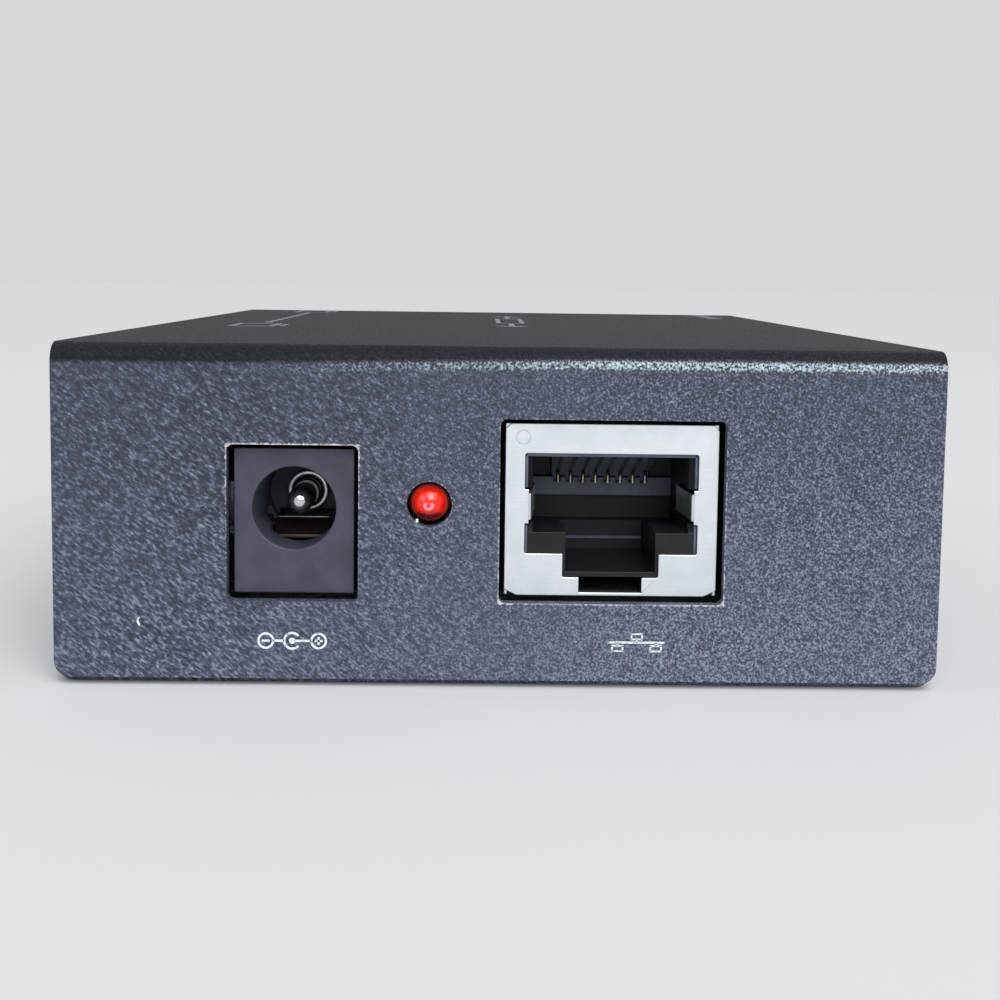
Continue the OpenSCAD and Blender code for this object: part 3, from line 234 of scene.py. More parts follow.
@dataclass(frozen=True)
class PowderCoat(Finish):
    """Polyester powder coat on folded steel, sprayed dry and baked into a fine leathery grain with a dull gloss.

    The eye sees pale crests and dark furrows 0.15 to 0.4 mm apart, drawn at that size. They are long and slanting on
    the left, where the spray came from, and even grit on the right. The top and its fold carry painted shade, the
    front is painted darker towards the fold and to the left as shade, and the fold's lower half on the right carries a
    painted highlight. The punched rims show bright crumbs of steel.
    """

    name: str = "textured_powder_coat"
    furrow: str = "#343643"
    body: str = "#4e5364"
    crest: str = "#939bb0"
    # The next two colours are a painted highlight on the fold and painted shade on the top and its fold
    fold_highlight: str = "#bcd0d6"
    painted_top_shade: str = "#0e0f13"
    steel: str = "#d2d0d4"
    grit: float = 0.15
    stroke: float = 0.17
    stroke_stretch: float = 2.4
    stroke_slant: float = 36.0
    cloud: float = 14.0
    crumb: float = 0.2
    relief: float = 0.05
    spray_left: float = -22.0
    spray_right: float = 8.0
    # Heights over which painted shade darkens the front towards the fold
    shade_ramp_low: float = 2.0
    shade_ramp_high: float = 24.0
    fold: float = 24.3
    # How the line of the painted shade and the painted highlight wavers from left to right, and where each begins and
    # becomes full
    waver_left: float = 0.6
    waver_right: float = 0.05
    fold_highlight_from: float = -0.2
    fold_highlight_full: float = 0.05
    top_shade_from: float = 0.45
    top_shade_full: float = 0.8
    wall: float = 47.38
    rims: tuple[Rim, ...] = (
        Rim(-15.4, 12.4, 4.9, 5.9, worn=0.88, worn_foot=0.46),
        Rim(8.5, 13.45, 8.45, 6.95, worn=0.6, worn_foot=0.8),
        Rim(-5.2, 13.95, 1.7, 1.7, is_round=True, worn=0.66),
    )

    def crumbs(self, n: Nodes, place: bpy.types.NodeSocket) -> bpy.types.Node:
        """Draws the share of steel that shows in ragged crumbs round every hole.

        Args:
            n: the tree to draw in.
            place: the place on the piece.

        Returns:
            The last node of the share.
        """
        bare = self.rims[0].bare(n, place, self.wall)
        for rim in self.rims[1:]:
            bare = n.add("Math", {0: bare, 1: rim.bare(n, place, self.wall)}, operation="MAXIMUM")
        ragged = n.add("TexNoise", {"Vector": place, "Scale": per(self.crumb), "Detail": 2.0})
        return n.add("MapRange", {"Value": n.add("Math", {0: bare, 1: ragged}, operation="ADD"), "From Min": 1.14,
                                  "From Max": 1.46})

    def leather(self, n: Nodes, place: bpy.types.NodeSocket, shade: bpy.types.Node) -> bpy.types.Node:
        """Draws dark furrows, the body of the coat and its pale crests, evened out in soft clouds.

        Args:
            n: the tree to draw in.
            place: the place on the piece.
            shade: the height of the grain, lowered by painted shade towards the fold and to the left.

        Returns:
            The colour's last node.
        """
        low = n.add("Mix", {0: n.add("MapRange", {"Value": shade, "From Min": 0.36, "From Max": 0.52}),
                            6: self.furrow, 7: self.body}, data_type="RGBA")
        coat = n.add("Mix", {0: n.add("MapRange", {"Value": shade, "From Min": 0.52, "From Max": 0.76}), 6: low,
                             7: self.crest}, data_type="RGBA")
        cloud = n.add("TexNoise", {"Vector": place, "Scale": per(self.cloud), "Detail": 2.0})
        even = n.add("MapRange", {"Value": cloud, "From Min": 0.35, "From Max": 0.65, "To Max": 0.25})
        return n.add("Mix", {0: even, 6: coat, 7: self.body}, data_type="RGBA")

    # Paints shade on the top and its fold, and a highlight on the fold's lower half; it draws no wear
    def wear(self, n: Nodes, rise: bpy.types.NodeSocket, across: bpy.types.Node,
             grit: bpy.types.Node) -> tuple[bpy.types.Node, bpy.types.Node]:
        """Draws painted shade on the top and its fold, and a painted highlight on the fold's lower half.

        Args:
            n: the tree to draw in.
            rise: the height of the place.
            across: how far to the right it is, from nothing to one.
            grit: the even grit of the coat.

        Returns:
            The last nodes of the share with painted shade and of the share with the painted highlight.
        """
        reach = n.add("MapRange", {"Value": across, "To Min": self.waver_left * MM, "To Max": self.waver_right * MM})
        height = n.add("Math", {0: rise, 1: reach}, operation="ADD")
        painted_top_shade = n.add("MapRange", {"Value": height, "From Min": (self.fold + self.top_shade_from) * MM,
                                     "From Max": (self.fold + self.top_shade_full) * MM, "To Max": 0.9})
        above = n.add("MapRange", {"Value": height, "From Min": (self.fold + self.fold_highlight_from) * MM,
                                   "From Max": (self.fold + self.fold_highlight_full) * MM})
        below = n.add("MapRange", {"Value": painted_top_shade, "From Min": 0.6, "From Max": 0.1})
        band = n.add("Math", {0: n.add("Math", {0: above, 1: below}, operation="MULTIPLY"), 1: across},
                     operation="MULTIPLY")
        # The painted highlight breaks into flecks over the grit
        worn = n.add("Math", {0: band, 1: 0.16, 2: grit}, operation="MULTIPLY_ADD")
        fleck = n.add("MapRange", {"Value": worn, "From Min": 0.54, "From Max": 0.8})
        return painted_top_shade, n.add("Math", {0: fleck, 1: band}, operation="MULTIPLY")

    def draw(self, n: Nodes, place: bpy.types.NodeSocket) -> bpy.types.Node:
        """Draws strokes and grit, clouds of thicker coat, painted shade on the front, the top and the fold, a painted
        highlight on the fold and the bare rims.

        Args:
            n: the tree to draw in.
            place: the place on the piece.

        Returns:
            The shader's node.
        """
        slant = n.add("Mapping", {0: place, "Rotation": (0, math.radians(self.stroke_slant), 0),
                                  "Scale": (self.stroke_stretch, 1, 1)}, vector_type="TEXTURE")
        strokes = n.add("TexNoise", {"Vector": slant, "Scale": per(self.stroke), "Detail": 1.0, "Distortion": 0.3})
        grit = n.add("TexNoise", {"Vector": place, "Scale": per(self.grit), "Detail": 1.0})
        axes = n.add("SeparateXYZ", {0: place}).outputs
        across = n.add("MapRange", {"Value": axes[0], "From Min": self.spray_left * MM,
                                    "From Max": self.spray_right * MM})
        grain = n.add("Mix", {0: n.add("MapRange", {"Value": across, "To Min": 0.2, "To Max": 0.8}), 2: strokes,
                              3: grit})
        # Painted shade: the coat is drawn darker towards the fold and to the left, where less light falls on the front
        painted_shade_ramp = n.add("MapRange", {"Value": axes[2], "From Min": self.shade_ramp_low * MM,
                                   "From Max": self.shade_ramp_high * MM, "To Min": 0.04, "To Max": -0.05})
        shade = n.add("Math", {0: n.add("Math", {0: grain, 1: painted_shade_ramp}, operation="ADD"),
                               1: n.add("MapRange", {"Value": across, "To Min": -0.02, "To Max": 0.03})},
                      operation="ADD")
        # Painted shade on the top and its fold, and a painted highlight low on the fold at the right
        painted_top_shade, fold_highlight = self.wear(n, axes[2], across, grit)
        coat = n.add("Mix", {0: painted_top_shade, 6: self.leather(n, place, shade), 7: self.painted_top_shade}, data_type="RGBA")
        coat = n.add("Mix", {0: fold_highlight, 6: coat, 7: self.fold_highlight}, data_type="RGBA")
        crumbs = self.crumbs(n, place)
        gloss = n.add("MapRange", {"Value": grain, "From Min": 0.35, "From Max": 0.65, "To Min": 0.62, "To Max": 0.4})
        relief = n.add("Math", {0: grain, 1: n.add("Math", {0: crumbs, 1: 0.4}, operation="MULTIPLY")},
                       operation="ADD")
        return n.add("BsdfPrincipled", {
            "Base Color": n.add("Mix", {0: crumbs, 6: coat, 7: self.steel}, data_type="RGBA"),
            "Roughness": n.add("Math", {0: painted_top_shade, 1: 0.15, 2: gloss}, operation="MULTIPLY_ADD"),
            "Normal": n.add("Bump", {"Height": relief, "Distance": self.relief * MM, "Strength": 0.8}),
            "IOR": 1.5,
            "Specular IOR Level": 0.2,
        })


@dataclass(frozen=True)
class PlatedMetal(Finish):
    """Plated sheet or wire: rolling or drawing leaves fine lines along it, and handling leaves duller smears.

    Real rolling lines are a few hundredths of a millimetre apart. They are drawn a little coarser, so that they show.
    """

    name: str
    base: str
    smear: str
    roughness: float
    line: float = 0.07
    along: Point3 = (40.0, 1.0, 1.0)
    depth: float = 0.004

    def draw(self, n: Nodes, place: bpy.types.NodeSocket) -> bpy.types.Node:
        """Draws fine lines along one axis under soft blotches of duller plate.

        Args:
            n: the tree to draw in.
            place: the place on the piece.

        Returns:
            The shader's node.
        """
        drawn = n.add("Mapping", {0: place, "Scale": self.along}, vector_type="TEXTURE")
        lines = n.add("TexNoise", {"Vector": drawn, "Scale": per(self.line), "Detail": 3.0, "Roughness": 0.6})
        blotch = n.add("TexNoise", {"Vector": place, "Scale": per(2.5), "Detail": 3.0, "Roughness": 0.55})
        dull = n.add("MapRange", {"Value": blotch, "From Min": 0.35, "From Max": 0.7})
        ruled = n.add("MapRange", {"Value": lines, "From Min": 0.35, "From Max": 0.7, "To Max": 0.3})
        plate = n.add("Mix", {0: dull, 6: self.base, 7: self.smear}, data_type="RGBA")
        both = n.add("Math", {0: lines, 1: blotch}, operation="ADD")
        return n.add("BsdfPrincipled", {
            "Base Color": n.add("Mix", {0: ruled, 6: plate, 7: self.smear}, data_type="RGBA", blend_type="MULTIPLY"),
            "Metallic": 1.0,
            "Roughness": n.add("MapRange", {"Value": both, "From Min": 0.7, "From Max": 1.35,
                                            "To Min": self.roughness - 0.05, "To Max": self.roughness + 0.08}),
            "Normal": n.add("Bump", {"Height": lines, "Distance": self.depth * MM, "Strength": 0.5}),
        })


@dataclass(frozen=True)
class MouldedPlastic(Finish):
    """Injection-moulded plastic: a spark-eroded tool gives an even, very fine grain and a satin gloss.

    The grain is about 0.05 mm on the real part, and it is drawn a little coarser, so that it shows.
    """

    name: str
    base: str
    lift: str
    roughness: float
    grain: float = 0.12
    ior: float = 1.5
    depth: float = 0.006
    gloss: float = 0.5

    def draw(self, n: Nodes, place: bpy.types.NodeSocket) -> bpy.types.Node:
        """Draws a fine grain and faint flow marks from the gate.

        Args:
            n: the tree to draw in.
            place: the place on the piece.

        Returns:
            The shader's node.
        """
        grain = n.add("TexNoise", {"Vector": place, "Scale": per(self.grain), "Detail": 3.0, "Roughness": 0.55})
        run = n.add("Mapping", {0: place, "Scale": (1, 3, 1)}, vector_type="TEXTURE")
        flow = n.add("TexNoise", {"Vector": run, "Scale": per(2.6), "Detail": 3.0, "Roughness": 0.55})
        streak = n.add("MapRange", {"Value": flow, "From Min": 0.35, "From Max": 0.7, "To Max": 0.7})
        speck = n.add("MapRange", {"Value": grain, "From Min": 0.5, "From Max": 0.7, "To Max": 0.3})
        tint = n.add("Math", {0: streak, 1: speck}, operation="ADD")
        return n.add("BsdfPrincipled", {
            "Base Color": n.add("Mix", {0: tint, 6: self.base, 7: self.lift}, data_type="RGBA"),
            "Roughness": n.add("MapRange", {"Value": flow, "From Min": 0.3, "From Max": 0.75,
                                            "To Min": self.roughness - 0.05, "To Max": self.roughness + 0.1}),
            "Normal": n.add("Bump", {"Height": grain, "Distance": self.depth * MM, "Strength": 0.6}),
            "IOR": self.ior,
            "Specular IOR Level": self.gloss,
        })


@dataclass(frozen=True)
class LampEpoxy(Finish):
    """Cast epoxy with red dye and diffuser: glossy outside and milky inside.

    Soft pink painted highlights lie on the tip: a ring open at the top and two spots above it. Low down the lens is
    painted dark red as shade, and a paler ring of painted reflection runs round its edge.
    """

    name: str = "diffused_red_epoxy"
    base: str = "#f0150a"
    warm: str = "#ff2c12"
    # Next: the dark red of painted shade low on the lens, the pink of painted highlights, the pale red of a painted
    # reflection at its edge
    deep: str = "#7a070a"
    painted_highlight: str = "#ff979b"
    rim: str = "#e0766c"
    axis: Point2 = (-5.2, 13.95)
    # Places of the painted highlights, from the lens's axis
    ring_highlight_at: Point2 = (-0.05, -0.08)
    spot_highlight_at: Point2 = (0.08, 0.57)
    glow_highlight_at: Point2 = (-0.5, 0.45)

    def spot(self, n: Nodes, place: bpy.types.NodeSocket, at: Point2, inner: float, outer: float) -> bpy.types.Node:
        """Draws a soft round mark, as seen from the front.

        Args:
            n: the tree to draw in.
            place: the place on the piece.
            at: the mark's place from the lens's axis.
            inner: radius up to which it is full.
            outer: radius at which it ends.

        Returns:
            The last node of its share.
        """
        flat = seen_flat(n, place, (self.axis[0] + at[0], self.axis[1] + at[1]))
        reach = n.add("VectorMath", {0: flat}, operation="LENGTH")
        return n.add("MapRange", {"Value": reach, "From Min": outer * MM, "From Max": inner * MM},
                     interpolation_type="SMOOTHSTEP")

    def draw(self, n: Nodes, place: bpy.types.NodeSocket) -> bpy.types.Node:
        """Draws a red body with painted highlights, painted shade low down and a painted reflection at its edge, under
        a polished skin.

        Args:
            n: the tree to draw in.
            place: the place on the piece.

        Returns:
            The shader's node.
        """
        cloud = n.add("TexNoise", {"Vector": place, "Scale": per(0.8), "Detail": 2.0})
        mottle = n.add("MapRange", {"Value": cloud, "From Min": 0.4, "From Max": 0.62})
        colour = n.add("Mix", {0: mottle, 6: self.base, 7: self.warm}, data_type="RGBA")
        # Painted shade: the lower part of the lens is drawn dark red, with a ragged edge
        height = n.add("Math", {0: n.add("SeparateXYZ", {0: place}).outputs[2], 1: self.axis[1] * MM},
                       operation="SUBTRACT")
        ragged = n.add("Math", {0: cloud, 1: 0.5 * MM, 2: height}, operation="MULTIPLY_ADD")
        lens_painted_shade = n.add("MapRange", {"Value": ragged, "From Min": -0.2 * MM, "From Max": -0.62 * MM},
                     interpolation_type="SMOOTHSTEP")
        colour = n.add("Mix", {0: lens_painted_shade, 6: colour, 7: self.deep}, data_type="RGBA")
        wall = n.add("Math", {0: self.spot(n, place, self.ring_highlight_at, 0.34, 0.45),
                              1: self.spot(n, place, self.ring_highlight_at, 0.12, 0.24)}, operation="SUBTRACT")
        # Painted highlight: a ring that is open at the top, so only its lower part shows
        open_top = n.add("MapRange", {"Value": height, "From Min": 0.16 * MM, "From Max": 0.02 * MM})
        painted_highlight = n.add("Math", {0: wall, 1: open_top}, operation="MULTIPLY")
        # Two smaller painted highlights above the ring
        spot_highlight = n.add("Math", {0: self.spot(n, place, self.spot_highlight_at, 0.05, 0.24), 1: 0.75}, operation="MULTIPLY")
        glow_highlight = n.add("Math", {0: self.spot(n, place, self.glow_highlight_at, 0.05, 0.35), 1: 0.3}, operation="MULTIPLY")
        marks = n.add("Math", {0: n.add("Math", {0: painted_highlight, 1: spot_highlight}, operation="MAXIMUM"), 1: glow_highlight},
                      operation="MAXIMUM")
        colour = n.add("Mix", {0: marks, 6: colour, 7: self.painted_highlight}, data_type="RGBA")
        # Painted reflection: a paler ring round the edge of the lens
        edge = self.spot(n, place, (0, 0), 1.16, 1.3)
        rim = n.add("MapRange", {"Value": edge, "To Min": 0.5, "To Max": 0.0})
        return n.add("BsdfPrincipled", {
            "Base Color": n.add("Mix", {0: rim, 6: colour, 7: self.rim}, data_type="RGBA"),
            "Roughness": n.add("MapRange", {"Value": cloud, "From Min": 0.3, "From Max": 0.7, "To Min": 0.1,
                                            "To Max": 0.17}),
            "IOR": 1.54,
            "Subsurface Weight": 0.12,
            "Subsurface Radius": (0.9, 0.12, 0.06),
            "Subsurface Scale": 0.6 * MM,
        })


@dataclass(frozen=True)
class SolderMask(Finish):
    """Glass-epoxy board under black solder mask: glossy lacquer over a faint weave, a little paler over copper."""

    name: str = "black_solder_mask"
    base: str = "#111215"
    copper: str = "#1c1e22"
    weave: float = 0.5
    pour: float = 2.4

    def draw(self, n: Nodes, place: bpy.types.NodeSocket) -> bpy.types.Node:
        """Draws the weave as a faint grid, and areas of copper as a step in the lacquer.

        Args:
            n: the tree to draw in.
            place: the place on the piece.

        Returns:
            The shader's node.
        """
        patch = n.add("TexVoronoi", {"Vector": place, "Scale": per(self.pour)}, feature="DISTANCE_TO_EDGE")
        pour = n.add("MapRange", {"Value": patch, "From Min": 0.03, "From Max": 0.06})
        turned = n.add("VectorMath", {0: place, "Scale": 2 * math.pi * per(self.weave)}, operation="SCALE")
        threads = n.add("SeparateXYZ", {0: n.add("VectorMath", {0: turned}, operation="SINE")}).outputs
        weave = n.add("Math", {0: threads[0], 1: threads[1]}, operation="MULTIPLY")
        relief = n.add("Bump", {"Height": pour, "Distance": 0.02 * MM, "Strength": 0.5})
        cloud = n.add("TexNoise", {"Vector": place, "Scale": per(4.0)})
        return n.add("BsdfPrincipled", {
            "Base Color": n.add("Mix", {0: pour, 6: self.base, 7: self.copper}, data_type="RGBA"),
            "Roughness": n.add("MapRange", {"Value": cloud, "From Min": 0.3, "From Max": 0.7, "To Min": 0.25,
                                            "To Max": 0.38}),
            "Normal": n.add("Bump", {"Height": weave, "Distance": 0.008 * MM, "Strength": 0.4, "Normal": relief}),
            "IOR": 1.52,
        })


@dataclass(frozen=True)
class ScreenInk(Finish):
    """White screen ink, pushed through a mesh: it lies flat and matt, and thins over the crests of the coat."""

    name: str = "white_screen_ink"
    base: str = "#e9ecf1"
    thin: str = "#9fa5b4"
    crest: float = 0.28

    def draw(self, n: Nodes, place: bpy.types.NodeSocket) -> bpy.types.Node:
        """Draws white that thins over the grain of the coat below.

        Args:
            n: the tree to draw in.
            place: the place on the piece.

        Returns:
            The shader's node.
        """
        crests = n.add("TexNoise", {"Vector": place, "Scale": per(self.crest), "Detail": 1.5})
        worn = n.add("MapRange", {"Value": crests, "From Min": 0.52, "From Max": 0.72})
        return n.add("BsdfPrincipled", {
            "Base Color": n.add("Mix", {0: worn, 6: self.base, 7: self.thin}, data_type="RGBA"),
            "Roughness": n.add("MapRange", {"Value": crests, "To Min": 0.45, "To Max": 0.65}),
            "Normal": n.add("Bump", {"Height": crests, "Distance": 0.04 * MM, "Strength": 0.7}),
            "IOR": 1.48,
        })


@dataclass(frozen=True)
class FloorPaint(Finish):
    """Matt pale paint, rolled on: almost even, with soft clouds where the roller lapped."""

    name: str = "pale_matt_paint"
    base: str = "#f0f2f4"
    lap: str = "#f2f4f6"

    def draw(self, n: Nodes, place: bpy.types.NodeSocket) -> bpy.types.Node:
        """Draws soft clouds of two near whites.

        Args:
            n: the tree to draw in.
            place: the place on the piece.

        Returns:
            The shader's node.
        """
        cloud = n.add("TexNoise", {"Vector": place, "Scale": per(40.0), "Detail": 2.0})
        return n.add("BsdfPrincipled", {
            "Base Color": n.add("Mix", {0: cloud, 6: self.base, 7: self.lap}, data_type="RGBA"),
            "Roughness": 0.8,
            "Specular IOR Level": 0.2,
        })


class Finishes:
    """Builds each finish once and gives it out by its slot in the record."""

    kinds: dict[str, Finish] = {
        "powder_coated_steel": PowderCoat(),
        "zinc_plated_steel": PlatedMetal("zinc_plated_steel", "#b9bcc0", "#8f9398", 0.36),
        "black_zinc_screw": PlatedMetal("black_zinc_plate", "#3a3b40", "#232428", 0.34, along=(1, 1, 1)),
        "fr4_board": SolderMask(),
        # The jack's body and the parts of the socket are PBT, which takes a finer skin from the tool than ABS
        "jack_plastic": MouldedPlastic("grey_moulded_pbt", "#3c3c49", "#4f5062", 0.45, 0.16, depth=0.01, gloss=0.4),
        "connector_plastic": MouldedPlastic("black_moulded_pbt", "#131116", "#1e1c23", 0.42, gloss=0.3),
        "carrier_plastic": MouldedPlastic("blue_grey_moulded_pbt", "#414959", "#677185", 0.4),
        # Nickel over rolled brass is pale and bright, with its rolling lines across the face
        "nickel_shell": PlatedMetal("rolled_nickel_plate", "#eff2f5", "#dde2e7", 0.32),
        # A turned pin keeps fine rings round its axis, too close to tell apart, so only the plate's clouds show
        "nickel_pin": PlatedMetal("turned_nickel_plate", "#e2e0de", "#c4c1bd", 0.13, along=(1, 1, 1), depth=0.001),
        "tinned_bronze": PlatedMetal("tinned_spring_bronze", "#554c49", "#3c3634", 0.5, along=(1, 30, 1)),
        "tinned_lead": PlatedMetal("tin_plate", "#c9cbcd", "#9a9da0", 0.3, along=(1, 1, 1)),
        # A flash of gold over nickel, worn pale where the plug wipes it
        "gold_contact": PlatedMetal("worn_gold_flash", "#cfc8bb", "#8f8679", 0.22, along=(1, 20, 1)),
        "red_epoxy": LampEpoxy(),
        "chip_epoxy": MouldedPlastic("black_moulded_epoxy", "#1c1c1f", "#262629", 0.55, 0.08),
        "ferrite": MouldedPlastic("sintered_ferrite", "#37393d", "#45474c", 0.5, 0.2),
        "aluminium_can": PlatedMetal("drawn_aluminium", "#cdd0d2", "#a7abaf", 0.25, along=(1, 1, 20)),
        "crystal_can": PlatedMetal("drawn_steel", "#c6c2ba", "#99958d", 0.26, along=(1, 1, 12)),
        "ceramic_body": MouldedPlastic("fired_ceramic", "#9a7b58", "#86694a", 0.45, 0.1, 1.6),
        "resistor_body": MouldedPlastic("glazed_resistor_film", "#1d1d20", "#2a2a2d", 0.2, 0.1),
        "ink": ScreenInk(),
        # Print on the top is a copy of the white ink painted darker grey as shade, like the coat round it
        "shaded_top_ink": ScreenInk("shaded_top_screen_ink", "#8d919d", "#4a4d58"),
        "floor": FloorPaint(),
    }

    def __init__(self) -> None:
        """Starts with no material built."""
        self.made: dict[str, bpy.types.Material] = {}

    def of(self, slot: str) -> bpy.types.Material:
        """Gives out the material of a slot, built on its first use.

        Args:
            slot: the record's slot, or a name of the scene's own.

        Returns:
            The material.
        """
        if slot not in self.made:
            self.made[slot] = self.kinds[slot].build()
        return self.made[slot]


class Shape:
    """A mesh in the making, in millimetres."""

    def __init__(self) -> None:
        """Starts with nothing."""
        self.mesh = bmesh.new()

    def skin(self, rings: Sequence[Sequence[Point3]], closed: bool = False) -> None:
        """Covers rings of points in order, with an end cap at each end unless they close on themselves.

        Args:
            rings: equally long rings of points.
            closed: whether the last ring joins the first.
        """
        rows = [[self.mesh.verts.new(point) for point in ring] for ring in rings]
        for near, far in zip(rows, rows[1:] + rows[:1] if closed else rows[1:]):
            for i in range(len(near)):
                j = (i + 1) % len(near)
                self.mesh.faces.new((near[i], near[j], far[j], far[i]))
        if not closed:
            self.mesh.faces.new(rows[0])
            self.mesh.faces.new(rows[-1])

    def turn(self, profile: Sequence[Point2], x: float, z: float, closed: bool = False, steps: int = 72) -> None:
        """Turns a profile round an axis along Y.

        Args:
            profile: radius and depth of each point.
            x: the axis's place across the box.
            z: its height.
            closed: whether the profile is a loop, which gives a ring.
            steps: number of flats round it.
        """
        turns = [2 * math.pi * i / steps for i in range(steps)]
        self.skin([[(x + r * math.cos(a), y, z + r * math.sin(a)) for a in turns] for r, y in profile], closed)

    def strip(self, path: Sequence[Point2], low: float, high: float, gauge: float, bend: Bend) -> None:
        """Bends a strip of sheet along a path.

        Args:
            path: points of its middle line, in the plane of the bend.
            low: where its width begins, on the third axis.
            high: where its width ends.
            gauge: its thickness.
            bend: the plane of the bend.
        """
        rings = []
        for i, point in enumerate(path):
            along = (Vector(path[min(i + 1, len(path) - 1)]) - Vector(path[max(i - 1, 0)])).normalized()
            off = Vector((-along.y, along.x)) * gauge / 2
            ring = []
            for side, at in ((1, low), (1, high), (-1, high), (-1, low)):
                a, b = Vector(point) + off * side
                ring.append((a, b, at) if bend is Bend.LEVEL else (at, a, b))
            rings.append(ring)
        self.skin(rings)

    def wire(self, path: Sequence[Point3], radius: float, sides: int = 12) -> None:
        """Adds a round wire that lies in a plane of constant X.

        Args:
            path: points of its middle line.
            radius: its radius.
            sides: number of flats round it.
        """
        rings = []
        for i, point in enumerate(path):
            along = (Vector(path[min(i + 1, len(path) - 1)]) - Vector(path[max(i - 1, 0)])).normalized()
            across, up = Vector((1, 0, 0)), Vector((1, 0, 0)).cross(along)
            turns = [2 * math.pi * k / sides for k in range(sides)]
            rings.append([Vector(point) + radius * (math.cos(a) * across + math.sin(a) * up) for a in turns])
        self.skin(rings)

    def block(self, low: Point3, high: Point3, soft: float = 0.0) -> None:
        """Adds a block with softened edges.

        Args:
            low: its lowest corner.
            high: its highest corner.
            soft: width of its bevels.
        """
        corners = [self.mesh.verts.new([(low, high)[(n >> k) & 1][k] for k in range(3)]) for n in range(8)]
        quads = ((0, 2, 3, 1), (4, 5, 7, 6), (0, 1, 5, 4), (2, 6, 7, 3), (0, 4, 6, 2), (1, 3, 7, 5))
        faces = [self.mesh.faces.new([corners[n] for n in quad]) for quad in quads]
        if soft:
            edges = list({edge for made in faces for edge in made.edges})
            bmesh.ops.bevel(self.mesh, geom=edges, offset=soft, segments=3, profile=0.5, affect="EDGES")


class Workshop:
    """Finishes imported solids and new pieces, and hangs the new ones on their bodies."""

    def __init__(self, finishes: Finishes) -> None:
        """Keeps the finishes and the record's slots at hand.

        Args:
            finishes: the materials by slot.
        """
        self.finishes = finishes
        self.slots = {row["node"]: row["material_slot"] for row in frame["record"]["subparts"]}

    def dress(self, softness: dict[str, float]) -> None:
        """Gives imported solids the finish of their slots, and the soft edges of folded, cut or moulded ones.

        Args:
            softness: node name to width of the soft edge, or nothing where it is left sharp.
        """
        for node, width in softness.items():
            piece = frame["nodes"][node]
            piece.data.materials.clear()
            piece.data.materials.append(self.finishes.of(self.slots.pop(node)))
            if width:
                weld = piece.modifiers.new("weld", "WELD")
                weld.merge_threshold = 1e-6
                edge = piece.modifiers.new("edge", "BEVEL")
                edge.width = width * MM
                edge.segments = 2
                edge.limit_method = "ANGLE"
                edge.angle_limit = math.radians(30)
                edge.miter_outer = "MITER_ARC"
            LOG.info("%s is finished", node)

    def place(self, name: str, shape: Shape, slot: str, body: str = CHASSIS, replaces: Sequence[str] = (),
              sharp: float = 40.0) -> None:
        """Turns a shape into a finished piece that rides on a body.

        Args:
            name: the piece's name.
            shape: its mesh, which is used up.
            slot: the finish, and the record's slot where it has one.
            body: the body that it moves with.
            replaces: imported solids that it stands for.
            sharp: angle in degrees from which an edge stays sharp.
        """
        work = shape.mesh
        bmesh.ops.recalc_face_normals(work, faces=work.faces)
        bmesh.ops.scale(work, vec=(MM, MM, MM), verts=work.verts)
        mesh = bpy.data.meshes.new(name)
        work.to_mesh(mesh)
        work.free()
        mesh.shade_smooth()
        mesh.set_sharp_from_angle(angle=math.radians(sharp))
        mesh.materials.append(self.finishes.of(slot))
        piece = bpy.data.objects.new(name, mesh)
        bpy.context.scene.collection.objects.link(piece)
        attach(piece, body)
        if replaces:
            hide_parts(*replaces)
        LOG.info("%s rides on %s", name, body)


@dataclass
class Case:
    """The folded cover and tray with their brackets and screws, a flake that use has left on them, and a bright crumb
    that stands in for a painted highlight.
    """

    shop: Workshop
    fold_soft: float = 0.12
    screw_soft: float = 0.05
    front: float = -47.5
    chip_at: Point2 = (-26.9, 4.85)
    chip_rise: float = 0.012
    chip_depth: float = 0.01
    # Place, size and roughness of the crumb that stands in for a painted highlight
    glint_at: Point3 = (-6.13, -47.2, 12.6)
    glint_size: Point3 = (0.34, 0.3, 0.46)
    glint_rough: float = 0.12

    def chip(self) -> None:
        """A curved sliver of coat has flaked off low on the left of the front."""
        rim = [(0.06, 0.36), (-0.1, 0.2), (-0.13, 0.0), (-0.05, -0.2), (0.06, -0.34), (0.16, -0.3), (0.1, -0.1),
               (0.02, 0.02), (0.02, 0.18), (0.12, 0.34)]
        x, z = self.chip_at
        shape = Shape()
        shape.skin([[(x + a, self.front + y, z + b) for a, b in rim] for y in (-self.chip_rise, self.chip_depth)])
        self.shop.place("coat_chip", shape, "ink", sharp=20)

    def crumb(self) -> None:
        """A bright crumb of steel at the lower left of the lamp's hole stands in for a glint there: a painted
        highlight.
        """
        shape = Shape()
        bmesh.ops.create_icosphere(shape.mesh, subdivisions=3, radius=0.5)
        for vert in shape.mesh.verts:
            out = 1 + self.glint_rough * random.uniform(-1, 1)
            vert.co = [at + spot * size * out for at, spot, size in zip(self.glint_at, vert.co, self.glint_size)]
        self.shop.place("hole_glint", shape, "nickel_shell", sharp=60)

    def build(self) -> None:
        """Finishes the sheet metal and adds its marks."""
        self.shop.dress({"upper_cover": self.fold_soft, "lower_tray": self.fold_soft, "cover_brackets": 0.0,
                         "cover_screws": self.screw_soft})
        self.chip()
        self.crumb()


